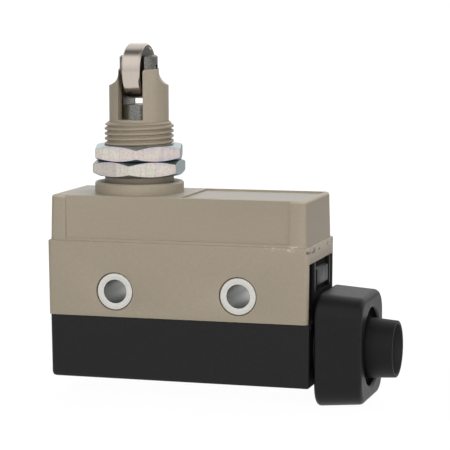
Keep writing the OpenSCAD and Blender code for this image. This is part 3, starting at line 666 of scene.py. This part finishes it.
def moulded_plastic(name, light, dark, rough, gloss, grain, relief, worn=None, tinted_patch=None):
    """Moulded engineering plastic. A spark-eroded tool leaves a fine even grain that spreads highlights;
    the colour drifts a little where the melt flowed, a handled edge is nicked paler, a pale grey sheen is
    painted on the level faces, with a painted highlight on the roof's edge and painted shade round the
    head's neck, the latch's hollows get black as painted shade, and a latch tongue, worn smooth, gets a
    lighter bluish colour as a painted reflection."""
    flow_size = 11
    flow_share = 0.15
    speck_size = 1.7 * grain
    uneven = 0.06
    painted_sheen_share = 0.55
    grain_depth = 0.06
    material, tree, place, shader = begin(name, **{"IOR": 1.5, "Specular IOR Level": gloss})
    flow = add(tree, "ShaderNodeTexNoise", {"Scale": per_mm(flow_size), "Detail": 3.0}, {"Vector": place})
    speck = add(tree, "ShaderNodeTexNoise", {"Scale": per_mm(speck_size), "Detail": 2.0}, {"Vector": place})
    blend = add(tree, "ShaderNodeMath", {1: flow_share}, {0: flow}, operation="MULTIPLY")
    blend = add(tree, "ShaderNodeMath", {1: 1 - flow_share}, {0: speck, 2: blend}, operation="MULTIPLY_ADD")
    tone = within(tree, (blend, 0.3, 0.7))
    body = add(tree, "ShaderNodeMix", {6: linear(dark), 7: linear(light)}, {0: tone},
               data_type="RGBA").outputs[2]
    sheen = add(tree, "ShaderNodeMapRange", {"To Min": rough - uneven, "To Max": rough + uneven},
                {"Value": speck})
    if worn:
        body = nicked_edge(tree, place, body, worn)
        # a pale grey sheen painted on the level faces
        painted_sheen = add(tree, "ShaderNodeMath", {1: painted_sheen_share}, {0: facing(tree, "Z", 0.9, 1.0)},
                   operation="MULTIPLY")
        body = laid_over(tree, body, painted_sheen, PAINTED_LEVEL_SHEEN)
        body = painted_roof_light_and_neck_shade(tree, place, body)
    # the latch tongue is worn smooth; its lighter bluish colour is a painted reflection
    if tinted_patch:
        # black painted as shade in the latch's hollows, then the tongue's painted reflection
        for mask, code, patch_rough in ((latch_painted_shade(tree, place), HOLLOW_PAINTED_SHADE, HOLLOW_PAINTED_SHADE_ROUGH),
                                       (tongue_mask(tree, place), tinted_patch, RUBBED_ROUGH)):
            body = laid_over(tree, body, mask, code)
            sheen = add(tree, "ShaderNodeMix", {3: patch_rough}, {0: mask, 2: sheen}, data_type="FLOAT")
    fine = add(tree, "ShaderNodeTexNoise", {"Scale": per_mm(grain), "Detail": 3.0, "Roughness": 0.6},
               {"Vector": place})
    dress(tree, shader, body, sheen, fine, relief, grain_depth)
    return material


def nicked_edge(tree, place, body, worn):
    """Pale nicks in a narrow band on both sides of the skirt's upper edge, more of them towards the
    gland, where the case gets knocked: one scuff lies just under the edge at the front, and the end
    face has a few dark ones that hold dirt."""
    nick_size = 1.6
    grit_size = 0.7
    dent_size = 1.3
    dent_stretch = (1.0, 0.6, 1.6)
    along = add(tree, "ShaderNodeSeparateXYZ", links={0: place}).outputs["X"]
    rare = add(tree, "ShaderNodeMapRange", {"From Min": NICKS_START * MM, "From Max": NICKS_FULL * MM,
                                            "To Min": 0.7, "To Max": 0.58}, {"Value": along})
    spot = add(tree, "ShaderNodeTexNoise", {"Scale": per_mm(nick_size), "Detail": 5.0, "Roughness": 0.7},
               {"Vector": place})
    nick = add(tree, "ShaderNodeMath", links={0: spot, 1: rare}, operation="GREATER_THAN")
    nick = zone(tree, place, NICKS, share=nick)
    grit = add(tree, "ShaderNodeTexNoise", {"Scale": per_mm(grit_size), "Detail": 4.0, "Roughness": 0.7},
               {"Vector": place})
    scuff = zone(tree, place, SCUFF, share=within(tree, (grit, 0.5, 0.62)))
    pale = add(tree, "ShaderNodeMath", links={0: nick, 1: scuff}, operation="MAXIMUM")
    body = laid_over(tree, body, pale, worn)
    drawn = add(tree, "ShaderNodeMapping", {"Scale": dent_stretch}, {"Vector": place})
    dent = add(tree, "ShaderNodeTexNoise", {"Scale": per_mm(dent_size), "Detail": 4.0, "Roughness": 0.65},
               {"Vector": drawn})
    dent = zone(tree, place, DENTS, share=within(tree, (dent, 0.54, 0.58)))
    return laid_over(tree, body, dent, DIRT)


def painted_roof_light_and_neck_shade(tree, place, body):
    """Painted light and shade at the head: a paler colour painted on the roof's rounded edge as a highlight,
    and a darker one painted round the foot of the head's neck as shade under the nuts, thinning out upwards."""
    level = facing(tree, "Z", 0.85, 0.98)
    sloping = facing(tree, "Z", 0.2, 0.5)
    slope = add(tree, "ShaderNodeMath", links={0: sloping, 1: level}, operation="SUBTRACT")
    # painted highlight on the roof's rounded edge
    body = laid_over(tree, body, zone(tree, place, ROOF_HIGHLIGHT_BAND, share=slope), PAINTED_EDGE_HIGHLIGHT)
    # painted shade round the neck's foot, under the nuts
    near = round_axis(tree, place, (HEAD_X, 0.0, 0.0), (1.0, 1.0, 0.0), *NECK_PAINTED_SHADE_R)
    return laid_over(tree, body, zone(tree, place, NECK_SHADE_BAND, share=near), NECK_PAINTED_SHADE)


def latch_painted_shade(tree, place):
    """1 in the latch plate's window, below its sill and in the rebates at both sides, where black is painted
    as shade, and 0 elsewhere.
    """
    deep = (LATCH_WEB - 0.7, LATCH_WEB - 0.6, LATCH_WEB + 0.05, LATCH_WEB + 0.1)
    outer = (LATCH_WEB, LATCH_WEB + 0.1, LATCH_FACE + 0.2, LATCH_FACE + 0.3)
    tall = (LATCH_FOOT, LATCH_FOOT + 1, LATCH_TOP + 0.4, LATCH_TOP + 0.5)
    low = (LATCH_FOOT, LATCH_FOOT + 1, WINDOW_SILL, WINDOW_SILL + 0.6)
    front = (-PLATE_HALF, 0.1 - PLATE_HALF, -WINDOW_HALF - 1.2, -WINDOW_HALF - 1.0)
    back = (WINDOW_HALF + 0.7, WINDOW_HALF + 0.9, PLATE_HALF - 0.1, PLATE_HALF)
    return zone(tree, place, {"X": deep, "Z": tall}, {"X": outer, "Z": low},
                {"X": outer, "Y": front, "Z": tall}, {"X": outer, "Y": back, "Z": tall})


def tongue_mask(tree, place):
    """1 on the outer face of the latch tongue and along the posts beside it, in uneven strokes, and 0
    elsewhere. There the face is worn smooth, and a lighter bluish colour is painted on it as a reflection."""
    stroke_size = 1.5
    stroke_stretch = (1.0, 1.0, 0.25)
    outer = (LATCH_FACE - 0.2, LATCH_FACE - 0.05, LATCH_FACE + 0.9, LATCH_FACE + 1)
    across = (0.3 - TONGUE_HALF, 0.7 - TONGUE_HALF, TONGUE_HALF - 0.25, TONGUE_HALF)
    height = (WINDOW_SILL + 1.1, WINDOW_SILL + 1.9, LATCH_TOP - 0.6, LATCH_TOP - 0.4)
    front_post = (-WINDOW_HALF - 1.0, -WINDOW_HALF - 0.7, -WINDOW_HALF, 0.1 - WINDOW_HALF)
    back_post = (WINDOW_HALF - 0.1, WINDOW_HALF, WINDOW_HALF + 0.5, WINDOW_HALF + 0.7)
    post_height = (WINDOW_SILL, WINDOW_SILL + 1.3, LATCH_TOP - 0.9, LATCH_TOP)
    upright = add(tree, "ShaderNodeMapping", {"Scale": stroke_stretch}, {"Vector": place})
    stroke = add(tree, "ShaderNodeTexNoise", {"Scale": per_mm(stroke_size), "Detail": 3.0},
                 {"Vector": upright})
    stroke = add(tree, "ShaderNodeMapRange", {"From Min": 0.38, "From Max": 0.6, "To Min": 0.35},
                 {"Value": stroke})
    return zone(tree, place, {"X": outer, "Y": across, "Z": height},
                {"X": outer, "Y": front_post, "Z": post_height},
                {"X": outer, "Y": back_post, "Z": post_height}, share=stroke)


def moulded_rubber(name, light, dark, bore_painted_light, rough):
    """Moulded nitrile rubber: nearly black, with a matt bloom that comes in soft patches and a skin just
    rough enough to spread the light. Inside the cable's bore a paler grey is painted as light."""
    bloom_size = 3.5
    uneven = 0.1
    skin_size = 0.3
    skin_depth = 0.03
    skin_relief = 0.2
    material, tree, place, shader = begin(name, **{"IOR": 1.52, "Specular IOR Level": 0.24})
    bloom = add(tree, "ShaderNodeTexNoise", {"Scale": per_mm(bloom_size), "Detail": 4.0}, {"Vector": place})
    body = add(tree, "ShaderNodeMix", {6: linear(dark), 7: linear(light)}, {0: bloom},
               data_type="RGBA").outputs[2]
    # paler grey painted inside the cable's bore as light
    inside = round_axis(tree, place, (0.0, 0.0, GLAND_Z - TUBE_HANG), (0.0, 1.0, 1.0), *BORE_PAINTED_LIGHT_R)
    body = laid_over(tree, body, inside, bore_painted_light)
    sheen = add(tree, "ShaderNodeMapRange", {"To Min": rough - uneven, "To Max": rough + uneven},
                {"Value": bloom})
    skin = add(tree, "ShaderNodeTexNoise", {"Scale": per_mm(skin_size), "Detail": 2.0}, {"Vector": place})
    dress(tree, shader, body, sheen, skin, skin_relief, skin_depth)
    return material


def worked_metal(name, light, dark, rough, grain, stretch, relief, spread=0.12, dull_or_painted_shade=None, dull_or_painted_shade_facing=None):
    """Bare or plated metal. Its tool or grit leaves fine marks, drawn out along the working direction by
    the stretch of each axis; the marks carry small changes of shade and roughness. Faces picked by the
    way that they face get a colour and roughness of their own: in a tube's bore, the plainer shade of a
    face that the polish does not reach; on the roller's sides, a dark painted shade."""
    mark_depth = 0.02
    material, tree, place, shader = begin(name, Metallic=1.0)
    drawn = add(tree, "ShaderNodeMapping", {"Scale": stretch}, {"Vector": place})
    mark = add(tree, "ShaderNodeTexNoise", {"Scale": per_mm(grain), "Detail": 4.0, "Roughness": 0.6},
               {"Vector": drawn})
    tone = within(tree, (mark, 0.3, 0.7))
    body = add(tree, "ShaderNodeMix", {6: linear(dark), 7: linear(light)}, {0: tone},
               data_type="RGBA").outputs[2]
    sheen = add(tree, "ShaderNodeMapRange", {"To Min": rough + spread / 2, "To Max": rough - spread / 2},
                {"Value": tone})
    if dull_or_painted_shade:
        # faces picked by facing: unpolished in the tube bores, painted shade on the roller's sides
        side = facing(tree, *dull_or_painted_shade_facing)
        body = laid_over(tree, body, side, dull_or_painted_shade)
        sheen = add(tree, "ShaderNodeMix", {3: DULL_ROUGH}, {0: side, 2: sheen}, data_type="FLOAT")
    dress(tree, shader, body, sheen, mark, relief, mark_depth)
    return material


def passivated_zinc(name, foot, pitch):
    """Bright zinc plate under a thin passivation film. The film lies thin and cream on the middle of a
    nut's flats, thicker and rose to lilac towards their upper and lower edges, and thickest on its level
    faces, bevels and end flats, where it is a cold blue-green; it drifts over a few millimetres, and the
    plating's crystals leave a fine satin grain. Spanners have left upright scuffs. One flat of the lower
    nut, at the front left, is made darker, and shade is painted on the bevels and level faces at the nuts'
    joint."""
    drift_size = 5
    drift_share = 0.45
    edge_share = 0.28
    edge_start = 0.38 * pitch * MM
    edge_full = 0.1 * pitch * MM
    crystal_size = 0.4
    crystal_shade = 0.84
    crystal_depth = 0.03
    crystal_relief = 0.35
    scuff_size = 0.6
    scuff_stretch = (1.0, 1.0, 0.12)
    scuff_shade = 0.88
    groove_painted_shade = 0.6
    tinted_patch_shade = 0.83
    joint = foot + pitch
    groove_painted_shade_box = {"Z": (joint - 0.8, joint - 0.6, joint + 0.6, joint + 0.8)}
    tinted_patch_box = {"X": (HEAD_X - 10, HEAD_X - 9.5, HEAD_X - 2.2, HEAD_X - 1.8), "Y": (-11, -10, -3, -1),
                  "Z": (foot - 0.2, foot, joint - 0.1, joint)}
    material, tree, place, shader = begin(name, Metallic=1.0)
    drift = add(tree, "ShaderNodeTexNoise", {"Scale": per_mm(drift_size), "Detail": 3.0, "Distortion": 0.6},
                {"Vector": place})
    film = add(tree, "ShaderNodeMapRange", {"From Min": 0.3, "From Max": 0.7, "To Max": drift_share},
               {"Value": drift})
    height = add(tree, "ShaderNodeSeparateXYZ", links={0: place}).outputs["Z"]
    rise = add(tree, "ShaderNodeMath", {1: foot * MM}, {0: height}, operation="SUBTRACT")
    inner = add(tree, "ShaderNodeMath", {1: pitch / 2 * MM}, {0: rise}, operation="PINGPONG")
    edge = add(tree, "ShaderNodeMapRange",
               {"From Min": edge_start, "From Max": edge_full, "To Max": edge_share}, {"Value": inner},
               interpolation_type="SMOOTHSTEP")
    for thicker in (edge, facing(tree, "Z", 0.3, 0.8), facing(tree, "X", 0.78, 0.93)):
        film = add(tree, "ShaderNodeMath", links={0: film, 1: thicker}, operation="ADD")
    tint = ramp(tree, film, FILM_TINTS)
    crystal = add(tree, "ShaderNodeTexNoise", {"Scale": per_mm(crystal_size), "Detail": 3.0},
                  {"Vector": place})
    shade = add(tree, "ShaderNodeMapRange", {"From Min": 0.35, "From Max": 0.65, "To Min": crystal_shade},
                {"Value": crystal})
    upright = add(tree, "ShaderNodeMapping", {"Scale": scuff_stretch}, {"Vector": place})
    scuff = add(tree, "ShaderNodeTexNoise", {"Scale": per_mm(scuff_size), "Detail": 2.0}, {"Vector": upright})
    scuff = add(tree, "ShaderNodeMapRange", {"From Min": 0.3, "From Max": 0.5, "To Min": scuff_shade},
                {"Value": scuff})
    # painted shade on the bevels and level faces at the nuts' joint
    groove = zone(tree, place, groove_painted_shade_box, share=facing(tree, "Z", 0.3, 0.7))
    groove = add(tree, "ShaderNodeMapRange", {"To Min": 1.0, "To Max": groove_painted_shade}, {"Value": groove})
    # one flat of the lower nut, at the front left, made darker
    tinted_patch = add(tree, "ShaderNodeMapRange", {"To Min": 1.0, "To Max": tinted_patch_shade},
                 {"Value": zone(tree, place, tinted_patch_box)})
    for darkening in (scuff, groove, tinted_patch):
        shade = add(tree, "ShaderNodeMath", links={0: shade, 1: darkening}, operation="MULTIPLY")
    body = add(tree, "ShaderNodeMix", {0: 1.0}, {6: tint, 7: shade}, data_type="RGBA", blend_type="MULTIPLY")
    sheen = add(tree, "ShaderNodeMapRange", {"To Min": 0.26, "To Max": 0.4}, {"Value": crystal})
    dress(tree, shader, body.outputs[2], sheen, crystal, crystal_relief, crystal_depth)
    return material


EVEN = (1.0, 1.0, 1.0)
ROLLED = (0.1, 1.0, 1.0)
TURNED = (1.0, 0.2, 1.0)
GROUND = (1.0, 0.05, 0.05)
tan_plastic = moulded_plastic("moulded_tan_polyester", "#aa9e8b", "#a59986", rough=0.44, gloss=0.55,
                              grain=0.32, relief=0.16, worn="#c9c1b2")
# 23282b: the latch tongue's lighter bluish colour, a painted reflection
black_plastic = moulded_plastic("moulded_black_nylon", "#1e1e1e", "#191919", rough=0.44, gloss=0.25,
                                grain=0.3, relief=0.25, tinted_patch="#23282b")
gland_plastic = moulded_plastic("moulded_gland_nylon", "#141414", "#0d0d0d", rough=0.42, gloss=0.27,
                                grain=0.6, relief=0.3)
brown_plastic = moulded_plastic("moulded_brown_phenolic", "#4a3226", "#3b271d", rough=0.42, gloss=0.5,
                                grain=0.5, relief=0.1)
red_plastic = moulded_plastic("moulded_red_phenolic", "#8a2a22", "#7a221b", rough=0.4, gloss=0.5,
                              grain=0.5, relief=0.1)
# 343434 is light painted inside the cable's bore
rubber = moulded_rubber("moulded_black_nitrile", "#121212", "#0b0b0b", bore_painted_light="#343434", rough=0.52)
nut_low, nut_high = (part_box(node)[0][2] / MM - NUT_SINK for node in ("lower_lock_nut", "upper_lock_nut"))
zinc = passivated_zinc("passivated_zinc_plate", nut_low, nut_high - nut_low)
nickel = worked_metal("bright_nickel_plate", "#e5e2dd", "#d8d6d0", rough=0.17, grain=0.5, stretch=TURNED,
                      relief=0.03, dull_or_painted_shade="#c6c7c5", dull_or_painted_shade_facing=("Y", 0.5, 0.1))
# the roller's side faces get #6b6a67 as painted shade
roller_steel = worked_metal("ground_roller_steel", "#d5cac0", "#d0c5bb", rough=0.16, grain=0.22,
                            stretch=GROUND, relief=0.01, spread=0.03, dull_or_painted_shade="#6b6a67",
                            dull_or_painted_shade_facing=("X", 0.8, 0.95))
sintered = worked_metal("sintered_steel", "#a3a19b", "#5e5c59", rough=0.36, grain=0.25, stretch=EVEN,
                        relief=0.6, spread=0.2)
spring_wire = worked_metal("drawn_spring_steel", "#b9b7b3", "#96948f", rough=0.32, grain=0.3, stretch=EVEN,
                           relief=0.1)
brass = worked_metal("rolled_brass", "#d3b264", "#bd9a4e", rough=0.32, grain=0.4, stretch=ROLLED, relief=0.08)
copper = worked_metal("rolled_copper_alloy", "#c88e66", "#ad7550", rough=0.34, grain=0.4, stretch=ROLLED,
                      relief=0.08)
silver = worked_metal("coined_silver", "#dedbd4", "#c4c1ba", rough=0.28, grain=0.5, stretch=EVEN, relief=0.08)


# Pieces on their bodies

def fit_piece(piece, material, slot, *nodes, body="housing"):
    """Gives a new piece its finish and the body that carries it, and hides the solids that it stands for."""
    piece.data.materials.append(material)
    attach(piece, body)
    if nodes:
        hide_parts(*nodes)


fit_piece(softened("case_moulding", "case", width=0.1), tan_plastic, "tan_moulding", "case")
sleeve = softened("sleeve_moulding", "threaded_sleeve", width=0.12)
narrow_head(sleeve)
fit_piece(sleeve, tan_plastic, "tan_moulding", "threaded_sleeve")
fit_piece(sleeve_thread(), tan_plastic, "tan_moulding")
fit_piece(lock_nut("lower_nut", "lower_lock_nut", turn=6.5), zinc, "zinc_plate", "lower_lock_nut")
fit_piece(lock_nut("upper_nut", "upper_lock_nut", turn=15), zinc, "zinc_plate", "upper_lock_nut")
fit_piece(mounting_tube("left_tube", "left_mounting_tube"), nickel, "bright_tube", "left_mounting_tube")
fit_piece(mounting_tube("right_tube", "right_mounting_tube"), nickel, "bright_tube", "right_mounting_tube")
fit_piece(softened("cover_moulding", "terminal_cover", width=0.14), black_plastic, "black_moulding",
          "terminal_cover")
fit_piece(gland_nut(), gland_plastic, "black_moulding", "gland_cap")
fit_piece(cable_tube(), rubber, "seal_rubber", "cable_seal")
fit_piece(gasket_cord(), rubber, "seal_rubber", "cover_gasket")
fit_piece(softened("plunger_fork", "plunger", width=0.2), sintered, "sintered_steel", "plunger",
          body="plunger")
fit_piece(roller_wheel(), roller_steel, "ground_steel", "roller", body="roller")
fit_piece(axle_pin(), spring_wire, "spring_steel", "roller_axle", body="plunger")

return_coil = spring_coil("return_coil", "return_spring", wire=0.5, turns=6)
fit_piece(return_coil, spring_wire, "spring_steel", "return_spring")
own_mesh(return_coil)
over_coil = spring_coil("overtravel_coil", "overtravel_spring", wire=0.4, turns=8)
fit_piece(over_coil, spring_wire, "spring_steel", "overtravel_spring", body="pusher")
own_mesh(over_coil)

kept_nodes = {
    "gland_washer": spring_wire, "plunger_seal": rubber, "spring_seat": spring_wire, "push_pin": spring_wire,
    "pin_keeper": spring_wire, "switch_base": brown_plastic, "switch_lid": brown_plastic,
    "switch_button": red_plastic, "snap_blade": copper, "moving_contact": silver, "common_terminal": brass,
    "normally_open_terminal": brass, "normally_closed_terminal": brass, "normally_open_contact": silver,
    "normally_closed_contact": silver, "terminal_screws": zinc,
}
for node_name, material in kept_nodes.items():
    for material_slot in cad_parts[node_name].material_slots:
        material_slot.material = material


# Stage, light and camera

scene = bpy.context.scene
scene.view_settings.view_transform = "Standard"

# Levels of the studio, as the light of each part of it
STUDIO_FRONT = (0.283, -0.959, 0.0)
FRONT_LEVEL = 1.0
FLOOR_LEVEL = 0.87
HIGH_LEVEL = 1.05
CROWN_LEVEL = 0.84
CEILING = 0.16
HORIZON = 0.74
AMBIENT = 0.08
# Level of the studio round the object, from straight behind it (0) to straight in front (1)
ROUND = ((0.0, "#f4f4f4"), (0.06, "#e8e8e8"), (0.16, "#848484"), (0.3, "#8c8c8c"), (0.42, "#a2a2a2"),
         (0.56, "#b6b6b6"), (0.68, "#ffffff"))
# Where those parts begin and where they are full, by a direction's rise or its share towards the front
HORIZON_RISE = 0.5
HIGH_RISE = (0.0, 0.3)
HIGH_FRONT = (0.0, -0.3)
CROWN_RISE = (0.4, 0.75)
CEILING_RISE = (0.6, 0.72)
CEILING_NEAR = (0.3, 0.02)
CEILING_FAR = (-0.46, -0.1)

# White paper under the object
FLOOR_HALF = 6000.0
FLOOR_LINES = 9
FLOOR_GAP = 0.02
FLOOR_WHITE = 1.07
FLOOR_BACK = 300.0
SHADOW_SHARE = 0.09
SHADOW_NEAR = 40.0
SHADOW_FAR = 140.0


def picture_rays(tree):
    """Two numbers: 1 for rays from the camera, and 1 for rays that carry a reflection or a view through."""
    path = add(tree, "ShaderNodeLightPath").outputs
    mirrored = add(tree, "ShaderNodeMath", links={0: path["Is Glossy Ray"], 1: path["Is Transmission Ray"]},
                   operation="MAXIMUM")
    return path["Is Camera Ray"], mirrored


side = np.linspace(-FLOOR_HALF, FLOOR_HALF, FLOOR_LINES)
floor_x, floor_y = np.meshgrid(side, side, indexing="ij")
floor_z = np.full_like(floor_x, cad_low[2] / MM - FLOOR_GAP)
floor = lay_grid("floor", np.stack([floor_x, floor_y, floor_z], axis=-1), wrap_rows=False, wrap_cols=False)
floor_paint = bpy.data.materials.new("white_paper")
floor_paint.use_nodes = True
tree = floor_paint.node_tree
tree.nodes.clear()
camera_ray, mirrored_ray = picture_rays(tree)
place = add(tree, "ShaderNodeTexCoord").outputs["Object"]
away = add(tree, "ShaderNodeVectorMath", links={0: place}, operation="LENGTH").outputs["Value"]
share = add(tree, "ShaderNodeMapRange", {"From Min": SHADOW_NEAR * MM, "From Max": SHADOW_FAR * MM,
                                         "To Min": 1 - SHADOW_SHARE}, {"Value": away},
            interpolation_type="SMOOTHSTEP")
share = add(tree, "ShaderNodeMath", links={0: camera_ray, 1: share}, operation="MULTIPLY")
share = add(tree, "ShaderNodeMath", links={0: share, 1: mirrored_ray}, operation="MAXIMUM")
ahead = add(tree, "ShaderNodeVectorMath", {1: STUDIO_FRONT}, {0: place},
            operation="DOT_PRODUCT").outputs["Value"]
shine = add(tree, "ShaderNodeMapRange", {"From Min": -FLOOR_BACK * MM, "From Max": 0.0,
                                         "To Min": FLOOR_LEVEL / 2, "To Max": FLOOR_LEVEL}, {"Value": ahead},
            interpolation_type="SMOOTHSTEP")
level = add(tree, "ShaderNodeMix", {3: FLOOR_WHITE}, {0: camera_ray, 2: shine}, data_type="FLOAT")
paper = add(tree, "ShaderNodeBsdfDiffuse", {"Color": linear("#c4c4c4")})
white = add(tree, "ShaderNodeEmission", {"Color": linear("#ffffff")}, {"Strength": level})
sheet = add(tree, "ShaderNodeMixShader", links={0: share, 1: paper, 2: white})
add(tree, "ShaderNodeOutputMaterial", links={"Surface": sheet})
floor.data.materials.append(floor_paint)

world = bpy.data.worlds.new("studio")
scene.world = world
world.use_nodes = True
tree = world.node_tree
tree.nodes.clear()
camera_ray, mirrored_ray = picture_rays(tree)
way = add(tree, "ShaderNodeTexCoord").outputs["Generated"]
rise = add(tree, "ShaderNodeSeparateXYZ", links={0: way}).outputs["Z"]
ahead = add(tree, "ShaderNodeVectorMath", {1: STUDIO_FRONT}, {0: way},
            operation="DOT_PRODUCT").outputs["Value"]
around = ramp(tree, within(tree, (ahead, -1.0, 1.0)), ROUND)
low = add(tree, "ShaderNodeMapRange", {"From Max": HORIZON_RISE, "To Min": HORIZON, "To Max": FRONT_LEVEL},
          {"Value": rise})
wall = add(tree, "ShaderNodeMath", links={0: around, 1: low}, operation="MULTIPLY")
high = within(tree, (rise, *HIGH_RISE), (ahead, *HIGH_FRONT))
crown = add(tree, "ShaderNodeMapRange", {"From Min": CROWN_RISE[0], "From Max": CROWN_RISE[1],
                                         "To Min": HIGH_LEVEL, "To Max": CROWN_LEVEL}, {"Value": rise})
wall = add(tree, "ShaderNodeMix", links={0: high, 2: wall, 3: crown}, data_type="FLOAT")
strip = within(tree, (rise, *CEILING_RISE), (ahead, *CEILING_NEAR), (ahead, *CEILING_FAR))
studio = add(tree, "ShaderNodeMix", {3: CEILING}, {0: strip, 2: wall}, data_type="FLOAT")
strength = add(tree, "ShaderNodeMix", {2: AMBIENT}, {0: mirrored_ray, 3: studio}, data_type="FLOAT")
strength = add(tree, "ShaderNodeMix", {3: 1.0}, {0: camera_ray, 2: strength}, data_type="FLOAT")
sky = add(tree, "ShaderNodeBackground", {"Color": linear("#ffffff")}, {"Strength": strength})
add(tree, "ShaderNodeOutputWorld", links={"Surface": sky})

MIDDLE = np.array([4.0, 0.0, 12.0])


def aimed(place):
    """Turn that points a lamp's -Z from its place to the object's middle, with +Y upwards."""
    back = np.asarray(place, float) - MIDDLE
    back = back / np.linalg.norm(back)
    right = np.cross((0, 0, 1), back)
    right = right / np.linalg.norm(right)
    up = np.cross(back, right)
    return Matrix(np.stack([right, up, back], axis=1).tolist())


def soft_box(name, place, width, height, power):
    """Rectangular studio lamp, with its place and size in millimetres and its power in watts. It lights
    the object, and reflections show the studio's walls in its place."""
    lamp = bpy.data.lights.new(name, "AREA")
    lamp.shape = "RECTANGLE"
    lamp.size = width * MM
    lamp.size_y = height * MM
    lamp.energy = power
    holder = bpy.data.objects.new(name, lamp)
    scene.collection.objects.link(holder)
    holder.visible_glossy = False
    holder.matrix_world = Matrix.Translation([v * MM for v in place]) @ aimed(place).to_4x4()


soft_box("front_lamp", (20, -720, 300), width=620, height=480, power=3.6)
soft_box("top_lamp", (20, 250, 640), width=560, height=380, power=2.45)
soft_box("right_lamp", (660, -240, 240), width=420, height=420, power=1.4)
soft_box("back_lamp", (-120, 640, 330), width=520, height=380, power=0.6)

CAMERA_YAW = math.radians(16.446)
CAMERA_PITCH = math.radians(6.784)
CAMERA_ROLL = math.radians(-0.166)
CAMERA_AIM = np.array([7.037, 0.0, 12.685])
CAMERA_DISTANCE = 405.58
FOCAL_PIXELS = 2030.0
FRAME_PIXELS = 450
SENSOR = 36.0
CLIP_START = 0.02
CLIP_END = 50.0
camera = bpy.data.objects.new("camera", bpy.data.cameras.new("camera"))
scene.collection.objects.link(camera)
scene.camera = camera
camera.data.sensor_width = SENSOR
camera.data.lens = SENSOR * FOCAL_PIXELS / FRAME_PIXELS
camera.data.clip_start = CLIP_START
camera.data.clip_end = CLIP_END
right = np.array([math.cos(CAMERA_YAW), math.sin(CAMERA_YAW), 0])
level = math.cos(CAMERA_PITCH)
ahead = np.array([-math.sin(CAMERA_YAW) * level, math.cos(CAMERA_YAW) * level, -math.sin(CAMERA_PITCH)])
up = np.cross(right, ahead)
right, up = (math.cos(CAMERA_ROLL) * right + math.sin(CAMERA_ROLL) * up,
             math.cos(CAMERA_ROLL) * up - math.sin(CAMERA_ROLL) * right)
eye = (CAMERA_AIM - ahead * CAMERA_DISTANCE) * MM
turn = Matrix(np.stack([right, up, -ahead], axis=1).tolist())
camera.matrix_world = Matrix.Translation(eye.tolist()) @ turn.to_4x4()

bpy.context.view_layer.update()
